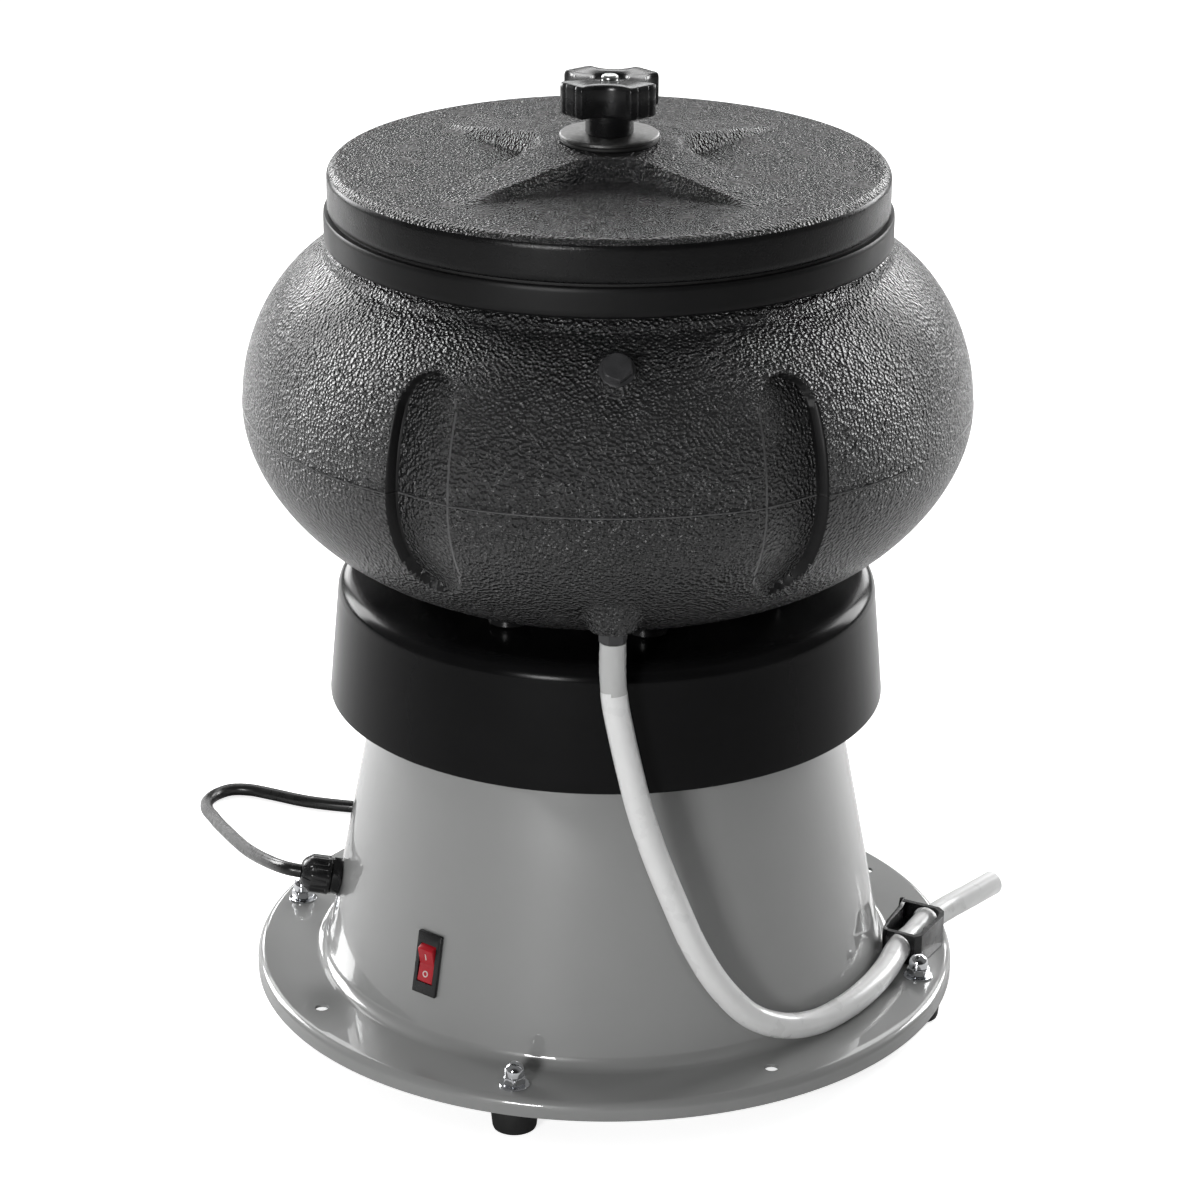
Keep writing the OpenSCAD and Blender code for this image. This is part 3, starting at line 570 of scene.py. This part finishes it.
bm = bmesh.new()
for place in around(FEET, FOOT_CIRCLE_R, FLANGE_Z):
    place = place @ rot(17, "Z")
    add_lathe(bm, [(3, 0), (7.0, 0), (7.2, 0.3), (7.2, 0.6), (6.9, 0.9), (3, 0.9)], 64, place)
    add_hex(bm, 10, 0.9, 5.4, 0.7, place, both=True)
    dome = [(4.75, 5.3), (4.75, 7.2)] + arc(0, 7.2, 4.75, 8, 90, 10)
    add_lathe(bm, dome, 48, place, closed=False)
dress(piece("cap_nuts", bm), chrome, "base", "chrome_nut", "acorn_nuts")

# ---------------------------------------------------------------- power switch
bm = bmesh.new()
FACE = SWITCH @ rot(90, "Y") @ rot(90, "Z")
add_prism(bm, [(-7.35, -15.5), (7.35, -15.5), (7.35, 15.5), (-7.35, 15.5)], 0.3, 2.2, FACE)
add_prism(bm, [(-6.1, -13.3), (6.1, -13.3), (6.1, 13.3), (-6.1, 13.3)], -20, 0.35, FACE)
frame_piece = piece("switch_frame", bm, bevel=0.7, segments=3)
tool_bm = bmesh.new()
add_block(tool_bm, (-14, 6), (-4.9, 4.9), (-9.7, 9.7), SWITCH)
lip_bm = bmesh.new()
add_block(lip_bm, (-14, 1.4), (-4.9, 4.9), (-10.9, 10.9), SWITCH)
cut(frame_piece, [piece("tool", tool_bm), piece("tool", lip_bm)], overlapping=True)
dress(frame_piece, plastic, "base", "black_plastic", "switch_housing")

ROCKER = SWITCH @ move(-3, 0, 0) @ rot(8, "Y")
ROCKER_R = 10.6
# The section's outline: two flat keys that meet in a shallow V, and the round ends behind them
outline = [(4.85, -0.8), (4.75, 0), (4.85, 0.8)]
outline += arc(0, 0, ROCKER_R, 52, 125, 11) + arc(0, 0, ROCKER_R, 235, 308, 11)
bm = bmesh.new()
add_prism(bm, outline, -4.6, 4.6, ROCKER @ rot(90, "X"))
dress(piece("switch_key_cap", bm, bevel=0.45, segments=3), red,
      "switch_key", "red_rocker", "switch_rocker")
bm = bmesh.new()
KEY_RISE, KEY_RUN = 1.68, 7.55
slope = math.degrees(math.atan(KEY_RISE / KEY_RUN))
MARK_X, MARK_Z = 5.65, 4.4
up_face = ROCKER @ move(MARK_X, 0, MARK_Z) @ rot(slope, "Y")
add_block(bm, (-0.1, 0.12), (-0.28, 0.28), (-1.6, 1.6), up_face)
down_face = ROCKER @ move(MARK_X, 0, -MARK_Z) @ rot(-slope, "Y") @ rot(90, "Y")
add_lathe(bm, [(1.05, -0.1), (1.6, -0.1), (1.6, 0.12), (1.05, 0.12)], 40, down_face)
dress(piece("switch_marks", bm), mark, "switch_key", "red_rocker")

# ---------------------------------------------------------------- cable gland
bm = bmesh.new()
add_hex(bm, 17.6, 0.4, 5.2, 0.8, GLAND, both=True)
thread = [(4.2, -9), (5.9, -9), (5.9, 0.4), (9.6, 0.4), (9.6, 1.0), (7.4, 1.0), (7.4, 10), (4.2, 10)]
add_lathe(bm, thread, 48, GLAND)
dress(piece("gland_base", bm), plastic, "base", "black_plastic", "gland_body")
bm = bmesh.new()
profile = [(7.5, 5.6), (9.5, 5.6), (9.8, 6.0), (9.8, 7.2), (9.35, 7.6), (9.35, 14.6), (9.1, 15.4)]
profile += [(8.4, 16.8), (7.4, 18.3), (6.2, 19.4), (4.9, 20), (4.3, 20), (4.0, 19.6)]
profile += [(4.0, 10.1), (7.5, 10.1)]
CAP_SIDES, CAP_RIBS, CAP_SLITS = 144, 12, 8
rings = add_lathe(bm, profile, CAP_SIDES)
# Ribs stand out on the skirt, and slits part the fingers above it
for i, ring in enumerate(rings):
    rib = 0.5 - 0.5 * math.cos(2 * math.pi * i / CAP_SIDES * CAP_RIBS)
    slit = 1 if i % (CAP_SIDES // CAP_SLITS) < 3 else 0
    for j, v in enumerate(ring):
        r = math.hypot(v.co.x, v.co.y)
        if 4 <= j <= 6:
            r += 0.45 * rib
        if 7 <= j <= 9:
            r -= 0.7 * slit
        k = r / math.hypot(v.co.x, v.co.y)
        v.co.x *= k
        v.co.y *= k
bmesh.ops.transform(bm, matrix=GLAND, verts=bm.verts)
dress(piece("gland_cap", bm), plastic, "base", "black_plastic", "gland_dome_nut")

# ---------------------------------------------------------------- shroud and spacers
bm = bmesh.new()
SHROUD_R, SHROUD_DRAFT, SHROUD_FOOT_Z, SHROUD_TOP_Z = 135.5, 4.5, 163, 223
SHROUD_ROUND, SHROUD_WALL = 9, 3
ROUND_Z = SHROUD_TOP_Z - SHROUD_ROUND
ROUND_R = SHROUD_R - SHROUD_DRAFT - SHROUD_ROUND
UNDER_Z = 219.5


def skirt(r, i):
    """A point of the skirt's side, a twelfth of its height for each step of i."""
    return r - SHROUD_DRAFT * i / 12, SHROUD_FOOT_Z + (ROUND_Z - SHROUD_FOOT_Z) * i / 12


outer = [(135.1, 162), (SHROUD_R, 162.5)] + [skirt(SHROUD_R, i) for i in range(12)]
outer += arc(ROUND_R, ROUND_Z, SHROUD_ROUND, 0, 90, 16)
outer += [(r, SHROUD_TOP_Z) for r in (118, 110, 100, 90, 80, 70, 60)]
inner = [(52, SHROUD_TOP_Z), (52, UNDER_Z)] + [(r, UNDER_Z) for r in (70, 90, 110)]
inner += arc(ROUND_R, ROUND_Z, SHROUD_ROUND - SHROUD_WALL, 90, 0, 10)
inner += [skirt(SHROUD_R - SHROUD_WALL, 12 - i) for i in range(1, 13)] + [(132.9, 162)]
add_lathe(bm, outer + inner, 360)
shroud = piece("shroud", bm)
tool_bm = bmesh.new()
for place in around(SPACERS, SPACER_CIRCLE_R):
    add_lathe(tool_bm, [(0, 213), (3, 213), (3, 230), (0, 230)], 32, place)
cut(shroud, [piece("tool", tool_bm)])
dress(shroud, shroud_black, "bowl_unit", "black_shroud", "splash_shroud")

spacer = [(3, 0), (9.3, 0), (9.9, 0.6), (9.6, 2.6), (9.6, 3.9), (9.9, 5.9), (9.3, 6.5), (3, 6.5)]
bm = bmesh.new()
for place in around(SPACERS, SPACER_CIRCLE_R, SHROUD_TOP_Z):
    add_lathe(bm, spacer, 64, place)
dress(piece("spacers", bm), plastic, "bowl_unit", "black_plastic", "bowl_spacers")

# ---------------------------------------------------------------- bowl
BOWL_R, MID_Z, BOTTOM_Z = 175, 309.5, 229.5
LOW_R, HIGH_R, HIGH_H = 90, 110, 80.5
LOW_H = MID_Z - BOTTOM_Z
BULGE = 1.16
BOWL_WALL, BOWL_SIDES = 6, 900
SEAM_Z, SEAM_OUT = 312, 0.33


def bowl_low(d, n):
    """The side d inside the surface, from the widest line down to the flat bottom."""
    line = []
    for i in range(n + 1):
        t = math.pi / 2 * i / n
        c, s = max(math.cos(t), 0) ** BULGE, math.sin(t) ** BULGE
        line.append((LOW_R + (BOWL_R - LOW_R - d) * c, MID_Z - (LOW_H - d) * s))
    return line


def bowl_high(d, n):
    """The side d inside the surface, from the widest line up to the neck."""
    line = []
    for i in range(n + 1):
        t = math.radians(71.8) * i / n
        line.append((HIGH_R + (BOWL_R - HIGH_R - d) * math.cos(t), MID_Z + (HIGH_H - d) * math.sin(t)))
    return line


outer = [(r, BOTTOM_Z) for r in (43, 60, 75)] + bowl_low(0, 64)[::-1]
for z, out in ((311.2, 0), (311.6, -0.05), (311.8, SEAM_OUT), (312.2, SEAM_OUT), (312.4, -0.05), (312.8, 0)):
    t = math.asin((z - MID_Z) / HIGH_H)
    outer.append((HIGH_R + (BOWL_R - HIGH_R) * math.cos(t) + out, z))
outer += [p for p in bowl_high(0, 64)[1:] if p[1] > 313.5 and p[0] > 134.4]
# The side stands back a little beside the seam, so that its ridge is no wider than the bowl
outer = [(r - 0.34 * math.exp(-(((z - SEAM_Z) / 14) ** 2)) * (r > 150), z) for r, z in outer]
# The neck's bead, under the lip
outer += [(134.0, 385.6), (133.7, 386.9), (132.8, 388.1), (131.6, 389.0), (131.2, 389.6)]
outer += [(131.6, 390.1), (133.3, 390.5), (134.0, 390.9), (134.3, 391.8)]
lip = [(134.3, z) for z in (394, 398, 402)] + [(134.2, 403.8), (133.8, 404.4), (130, 404.4), (126, 404.4)]
hollow = [(125.3, 404), (125, 403), (125, 395), (125, 386)]
hollow += bowl_high(BOWL_WALL, 24)[::-1] + bowl_low(BOWL_WALL, 24)[1:]
hub = [(54 - 34 * i / 10, 235.5 + 165.5 * i / 10) for i in range(10)] + [(20.6, 399.8), (19, 401), (4, 401)]
core = [(4, 394), (13, 394), (24.5, 328), (36, 262), (40, 250)]
bm = bmesh.new()
rings = add_lathe(bm, outer + lip + hollow + hub + core, BOWL_SIDES)
# Each grip's direction, and which way its deep edge lies
GRIPS = [(-120, 1), (-60, -1), (60, 1), (120, -1)]
GRIP_HALF_W, GRIP_LOW_Z, GRIP_HIGH_Z = 16, 277, 351
GRIP_LIP, GRIP_DEPTH = 0.5, 4.3


def grip(x, y, z):
    """How far inside a grip's outline a point of the side is, and how near its deep edge, from 0 to 1."""
    a = math.degrees(math.atan2(y, x))
    for centre, hand in GRIPS:
        turn = (a - centre + 180) % 360 - 180
        if abs(turn) < 8:
            u = math.radians(turn) * BOWL_R * hand - 3
            inside = GRIP_HALF_W - math.hypot(u, z - min(max(z, GRIP_LOW_Z), GRIP_HIGH_Z))
            return inside, min(1.0, max(0.0, (GRIP_HALF_W - u) / 27))
    return -1.0, 0.0


plug_in = SIDE_PLUG.inverted()
for i, ring in enumerate(rings):
    a = 360 * i / BOWL_SIDES
    by_drain = abs((a + 88.8 + 180) % 360 - 180) < 9
    for v in ring[: len(outer)]:
        z = v.co.z
        inside, ramp = grip(*v.co)
        if inside > 0:
            depth = smoothstep(0, 0.9 + 1.5 * ramp, inside) * (GRIP_LIP + GRIP_DEPTH * ramp)
            k = 1 - depth / math.hypot(v.co.x, v.co.y)
            if z < 300:
                v.co.z += depth * 0.35 * smoothstep(300, 270, z)
            v.co.x *= k
            v.co.y *= k
        if by_drain:
            d = math.hypot(v.co.x - DRAIN_X, v.co.y - DRAIN_Y)
            if d < 16 and 246.5 < z < 262:
                lump = 0.5 * noise.noise(v.co * 0.45)
                v.co.z += (246.9 - z + lump) * (1 - smoothstep(10.5, 14.5, d))
            q = plug_in @ v.co
            d = math.hypot(q.x, q.y)
            if d < 14 and -6 < q.z < 6:
                q.z += (1.0 - q.z) * (1 - smoothstep(8.5, 11.5, d))
                v.co = SIDE_PLUG @ q
bowl = piece("tumbling_bowl", bm, smooth=50)
bowl.data.materials.append(bowl_rubber)
bowl.data.materials.append(lip_and_shade_black)
bowl.data.materials.append(highlight_line_rubber)
# The lip is smooth, and the grips' deep edges take its darker smooth material as painted shade; the seam and
# the grips' shallow edges are pale lines, a painted highlight
SMOOTH_AND_SHADE, HIGHLIGHT_LINE = 1, 2
for face in bowl.data.polygons:
    c = face.center / MM
    r = math.hypot(c.x, c.y)
    if c.z > 389.6 and r > 126:
        face.material_index = SMOOTH_AND_SHADE
    # The seam's ridge is real geometry; its pale line colour is a painted highlight
    if abs(c.z - SEAM_Z) < 0.35 and r > 168:
        face.material_index = HIGHLIGHT_LINE
    inside, ramp = grip(*c)
    if 255 < c.z < 375 and r > 128:
        # The grips' deep walls get the lip's darker material: painted shade in the recess
        if ramp > 0.6 and 0.1 < inside < 2.7:
            face.material_index = SMOOTH_AND_SHADE
        # The grips' shallow edges get the pale line colour: a painted highlight along the crease
        if ramp < 0.1 and 0 < inside < 0.9:
            face.material_index = HIGHLIGHT_LINE
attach(bowl, "bowl_unit")
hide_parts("bowl")

bm = bmesh.new()
add_hex(bm, 12.6, 1.0, 5.5, 0.9, SIDE_PLUG @ rot(8, "Z"))
add_lathe(bm, [(0, -7), (4, -7), (4, 1.0), (8.0, 1.0), (8.1, 1.3), (7.6, 1.6), (0, 1.6)], 48, SIDE_PLUG)
dress(piece("side_drain_plug", bm), grey_plastic, "bowl_unit", "dark_grey_plastic", "side_plug")
DRAIN = move(DRAIN_X, DRAIN_Y, 247)
bm = bmesh.new()
add_hex(bm, 11.6, -6.5, 0, 0.8, DRAIN @ rot(13, "Z"), both=True)
dress(piece("drain_hex", bm), grey_plastic, "bowl_unit", "dark_grey_plastic", "drain_nut")
bm = bmesh.new()
barb = [(2.5, 8), (4, 8), (4, -6.5), (3.8, -7)]
for z in (-12.5, -16.5, -20.5):
    barb += [(3.7, z + 0.6), (4.65, z), (4.5, z - 0.8), (3.8, z - 3.2)]
add_lathe(bm, barb + [(3.5, -28.5), (2.5, -28.5)], 48, DRAIN)
dress(piece("hose_barb", bm), grey_plastic, "bowl_unit", "dark_grey_plastic", "drain_barb")

# ---------------------------------------------------------------- lid
bm = bmesh.new()
LID_R, LID_Z, LID_ROUND = 132.5, 426.0, 5.5
STAR_LEVEL_R, STAR_TIP, STAR_H = 40, 104, 10


def boss_height(x, y):
    """The raised four-pointed star: level at its middle, its tapering arms sloping down to their points."""
    along, off = (abs(x) + abs(y)) / math.sqrt(2), abs(abs(x) - abs(y)) / math.sqrt(2)
    flare = max(0.0, STAR_LEVEL_R - along)
    half = 20 + 0.041 * flare**2 - 0.11 * max(0.0, along - STAR_LEVEL_R)
    inside = min((half - off) / math.hypot(1, 0.082 * flare), STAR_TIP - along)
    level = STAR_H * min(1.0, max(0.0, (105 - math.hypot(x, y)) / 65))
    return level * smoothstep(0, 5.6, inside)


radii = [0.0, 2.5, 5, 8] + [10 + 1.25 * i for i in range(81)] + [112 + 2.5 * i for i in range(6)] + [126.2]
top = [(r, LID_Z) for r in radii]
side = arc(LID_R - LID_ROUND, LID_Z - LID_ROUND, LID_ROUND, 90, 0, 12)[1:]
side += [(LID_R, z) for z in (417, 413, 409)] + [(132.4, 406.3), (131.9, 405.8), (124.5, 405.8)]
under = [(124, 396), (120, 396), (119, 422), (14, 422), (14, 409), (5, 409)]
rings = add_lathe(bm, top[3:] + side + under, 720)
for ring in rings:
    for v in ring[: len(top) - 3]:
        v.co.z += boss_height(v.co.x, v.co.y)
    for v in (ring[0], ring[-1]):
        k = 5.0 / math.hypot(v.co.x, v.co.y)
        v.co.x *= k
        v.co.y *= k
lid = piece("lid_cover", bm, smooth=50)
dress(lid, lid_black, "lid_unit", "black_lid", "lid")
lid.data.materials.append(lid_side)
for face in lid.data.polygons:
    if face.center.z / MM < LID_Z - 3:
        face.material_index = 1

bm = bmesh.new()
rubber_ring = [(4.6, 436.05), (22.4, 436.05), (23, 436.6), (23, 437.5), (22.5, 437.98), (4.6, 437.98)]
add_lathe(bm, rubber_ring, 128)
dress(piece("soft_washer", bm), rubber, "lid_unit", "black_rubber", "rubber_washer")
bm = bmesh.new()
steel_ring = [(4.6, 438), (22.9, 438), (23.4, 438.4), (23.4, 439.5), (22.9, 440), (4.9, 440), (4.6, 439.7)]
add_lathe(bm, steel_ring, 128)
dress(piece("metal_washer", bm), steel, "lid_unit", "steel", "steel_washer")

# ---------------------------------------------------------------- knob and stud
bm = bmesh.new()
KNOB_Z = 440.05
KNOB_R, SCALLOP_R, SCALLOP_AT = 25.0, 14, 31
LOBE_TURN = 41


def knob_edge(a):
    """The head's outer radius at an angle: a circle with four round scallops between the lobes."""
    delta = (a - LOBE_TURN) % 90 - 45
    s = SCALLOP_AT * math.sin(math.radians(delta))
    r = KNOB_R
    if abs(s) < SCALLOP_R:
        r = min(r, SCALLOP_AT * math.cos(math.radians(delta)) - math.sqrt(SCALLOP_R**2 - s * s))
    # Each lobe's end is nearly flat, with two fine grooves
    lobe = (a - LOBE_TURN + 45) % 90 - 45
    width = KNOB_R * math.sin(math.radians(lobe))
    if r > 24:
        r = min(r, 24.4 / math.cos(math.radians(lobe)))
        r -= 0.55 * max(0.0, 1 - abs(abs(width) - 3.4) / 0.5)
    return r


n = 720
levels = [(11, -1.0), (11.5, -0.35), (12.3, 0), (24, 0), (25.6, -0.25), (26.1, -0.7), (26.3, -1.5)]
edge = [knob_edge(360 * i / n) for i in range(n)]
for k in range(4):
    edge = [0.25 * edge[i - 1] + 0.5 * edge[i] + 0.25 * edge[(i + 1) % n] for i in range(n)]
rings = []
for z, d in levels:
    ring = []
    for i in range(n):
        a = 2 * math.pi * i / n
        ring.append(bm.verts.new(((edge[i] + d) * math.cos(a), (edge[i] + d) * math.sin(a), KNOB_Z + z)))
    rings.append(ring)
for low, high in zip(rings, rings[1:]):
    for i in range(n):
        bm.faces.new((low[i], low[(i + 1) % n], high[(i + 1) % n], high[i]))


def disc(outer_ring, profile):
    """Joins a ring of vertices to turned rings of the same count inside it."""
    last = outer_ring
    for r, z in profile:
        ring = []
        for i in range(n):
            a = 2 * math.pi * i / n
            ring.append(bm.verts.new((r * math.cos(a), r * math.sin(a), KNOB_Z + z)))
        for i in range(n):
            bm.faces.new((last[i], last[(i + 1) % n], ring[(i + 1) % n], ring[i]))
        last = ring


disc(rings[-1], [(9.6, 26.3), (9.2, 26.0), (8.6, 24.6), (7.0, 24.2), (5.4, 24.2), (5.1, 23.9), (5.1, 17)])
disc(rings[0], [
    (12.6, 11), (12.1, 10.2), (11.5, 9.8), (11.35, 9.2), (11.35, 0.6), (10.9, 0.0),
    (5.6, 0.0), (5.6, 16.9), (5.1, 17)])
dress(piece("hand_knob", bm, smooth=40), plastic, "knob_grip", "black_plastic", "knob")

bm = bmesh.new()
THREAD_PITCH, THREAD_R, THREAD_ROOT_R = 1.25, 4.0, 3.55
stud = [(0, 385.2), (3.6, 385.2), (THREAD_R, 385.8)]
z = 386.0
while z < 465.6:
    stud += [(THREAD_R, z + 0.15), (THREAD_ROOT_R, z + 0.62), (THREAD_ROOT_R, z + 0.72), (THREAD_R, z + 1.2)]
    z += THREAD_PITCH
stud += [(3.9, 466.6), (3.2, 467.4), (0, 467.5)]
add_lathe(bm, stud, 40, closed=False)
dress(piece("threaded_stud", bm, smooth=25), zinc, "bowl_unit", "zinc_steel", "centre_stud")

# ---------------------------------------------------------------- hose clamp
body_outline = [
    (-20, 6), (-20, -9.5), (-17, -12), (9, -12), (14, -10), (17, -6), (17, 13.5), (14.5, 13.5),
    (14.5, -5), (12.5, -8), (8, -9.5), (-15.5, -9.5), (-17.5, -8), (-17.5, 6)]
bm = bmesh.new()
add_prism(bm, body_outline, 0.05, 16, CLAMP)
add_prism(bm, [(-7.5, -10), (1.5, -10), (-2, -6.6), (-4, -6.6)], 2.6, 13.4, CLAMP)
clamp = piece("hose_clip", bm)
tool_bm = bmesh.new()
add_lathe(tool_bm, [(0, -40), (7.35, -40), (7.35, 40), (0, 40)], 48, CLAMP @ move(0, 0, 8) @ rot(90, "Y"))
cut(clamp, [piece("tool", tool_bm)], overlapping=True)
m = clamp.modifiers.new("bevel", "BEVEL")
m.width = 0.35 * MM
m.segments = 2
m.limit_method = "ANGLE"
m.angle_limit = math.radians(35)
apply_modifiers(clamp)
dress(clamp, plastic, "base", "black_plastic", "hose_clamp_body")
latch_outline = [
    (-20, 6.5), (-17.5, 6.5), (-16, 8.2), (-9, 9.2), (8, 10.2), (13.8, 11.6), (13.8, 14.3),
    (19.5, 14.3), (17.5, 16.3), (8, 12.8), (-10, 11), (-18.5, 8.9)]
bm = bmesh.new()
add_prism(bm, latch_outline, 4, 16, CLAMP)
dress(piece("clip_latch", bm, bevel=0.35), plastic, "clamp_latch", "black_plastic", "hose_clamp_latch")

# ---------------------------------------------------------------- springs
SPRING_R, WIRE_R, SPRING_TURNS, SPRING_CIRCLE_R = 9.75, 1.25, 6, 94
SPRING_Z, SPRING_RISE, STEPS_PER_TURN = 165.9, 47.2, 28
for number, angle in enumerate(SPRINGS, 1):
    centre = rot(angle, "Z") @ Vector((SPRING_CIRCLE_R, 0, 0))
    line, steps = [], SPRING_TURNS * STEPS_PER_TURN
    for i in range(steps + 1):
        t = i / steps
        a = 2 * math.pi * SPRING_TURNS * t + math.radians(angle)
        flat = smoothstep(0.0, 0.14, t) * 0.06 + t * 0.88 + smoothstep(0.86, 1.0, t) * 0.06
        turn = Vector((SPRING_R * math.cos(a), SPRING_R * math.sin(a), SPRING_Z + SPRING_RISE * flat))
        line.append(centre + turn)
    bm = bmesh.new()
    add_tube(bm, line, [WIRE_R] * len(line), 12)
    coil = dress(piece(f"coil_spring_{number}", bm), spring_steel, None, "spring_steel", f"spring_{number}")
    x, y = centre.x * MM, centre.y * MM
    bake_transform(coil)

# ---------------------------------------------------------------- CAD nodes that stay, mostly inside
for mat, names in (
    (zinc, "foot_screws lower_spring_seats upper_spring_seats bowl_bolts stud_nuts"),
    (zinc, "motor_through_bolts motor_screws motor_plate"),
    (cast, "upper_end_bell lower_end_bell"),
    (lamination, "stator_core rotor_core"),
    (copper, "upper_winding lower_winding"),
    (steel, "upper_bearing lower_bearing motor_shaft"),
    (iron, "upper_weight lower_weight"),
    (plastic, "gland_locknut weight_set_screws"),
    (rubber, "lid_gasket"),
    (brass, "knob_insert switch_terminals"),
):
    for name in names.split():
        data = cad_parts[name].data
        data.materials.clear()
        data.materials.append(mat)

# ---------------------------------------------------------------- floor and light
bm = bmesh.new()
bmesh.ops.create_grid(bm, x_segments=4, y_segments=4, size=6000)
floor = piece("floor", bm)
floor_white = shader("floor_white", (0.86, 0.86, 0.86), 0.8, 0.004, 0.02, 3)
floor.data.materials.append(floor_white)
# The floor shows white to the eye, and lights the object only by what it reflects
nodes, links = floor_white.node_tree.nodes, floor_white.node_tree.links
glow = nodes.new("ShaderNodeEmission")
glow.inputs["Strength"].default_value = 0.8
seen = nodes.new("ShaderNodeMixShader")
both = nodes.new("ShaderNodeAddShader")
path = nodes.new("ShaderNodeLightPath")
end = nodes["Material Output"]
links.new(nodes["Principled BSDF"].outputs[0], both.inputs[0])
links.new(glow.outputs[0], both.inputs[1])
links.new(path.outputs["Is Camera Ray"], seen.inputs["Fac"])
links.new(nodes["Principled BSDF"].outputs[0], seen.inputs[1])
links.new(both.outputs[0], seen.inputs[2])
links.new(seen.outputs[0], end.inputs["Surface"])

world = bpy.data.worlds.new("studio")
scene.world = world
world.use_nodes = True
tree = world.node_tree
tree.nodes.clear()
out = tree.nodes.new("ShaderNodeOutputWorld")
sky = tree.nodes.new("ShaderNodeBackground")
white = tree.nodes.new("ShaderNodeBackground")
white.inputs["Color"].default_value = (1, 1, 1, 1)
white.inputs["Strength"].default_value = 1.05
choose = tree.nodes.new("ShaderNodeMixShader")
rays = tree.nodes.new("ShaderNodeLightPath")
coord = tree.nodes.new("ShaderNodeTexCoord")
front = tree.nodes.new("ShaderNodeVectorMath")
front.operation = "DOT_PRODUCT"
front.inputs[1].default_value = (0, -1, 0)
fade = tree.nodes.new("ShaderNodeMapRange")
fade.interpolation_type = "SMOOTHSTEP"
fade.inputs["From Min"].default_value = 0.35
fade.inputs["From Max"].default_value = 0.8
fade.inputs["To Min"].default_value = 0.22
fade.inputs["To Max"].default_value = 0.03
tree.links.new(coord.outputs["Generated"], front.inputs[0])
tree.links.new(front.outputs["Value"], fade.inputs["Value"])
tree.links.new(fade.outputs["Result"], sky.inputs["Strength"])
tree.links.new(rays.outputs["Is Camera Ray"], choose.inputs["Fac"])
tree.links.new(sky.outputs[0], choose.inputs[1])
tree.links.new(white.outputs[0], choose.inputs[2])
tree.links.new(choose.outputs[0], out.inputs["Surface"])


def softbox(name, at, look, size, size_y, power):
    data = bpy.data.lights.new(name, "AREA")
    data.shape = "RECTANGLE"
    data.size = size
    data.size_y = size_y
    data.energy = power
    obj = bpy.data.objects.new(name, data)
    obj.location = at
    obj.rotation_euler = (Vector(look) - Vector(at)).to_track_quat("-Z", "Y").to_euler()
    obj.visible_camera = False
    scene.collection.objects.link(obj)


softbox("left_box", (-1.5, 1.2, 0.8), (0, 0, 0.33), 0.7, 1.0, 26)
softbox("right_box", (1.5, 1.2, 0.8), (0, 0, 0.33), 0.7, 1.0, 22)
softbox("left_rim", (-0.85, 1.9, 0.62), (0, 0, 0.4), 0.5, 0.5, 6)
softbox("right_rim", (0.85, 1.9, 0.62), (0, 0, 0.4), 0.5, 0.5, 5)
softbox("top_box", (0, 0.7, 1.9), (0, 0, 0.4), 1.2, 0.3, 4)
softbox("back_box", (0, 1.2, 0.98), (0, 0, 0.43), 1.8, 0.42, 7)
softbox("front_fill", (-1.0, -2.2, 0.8), (0, 0, 0.25), 0.5, 0.5, 27)
scene.view_settings.view_transform = "Standard"
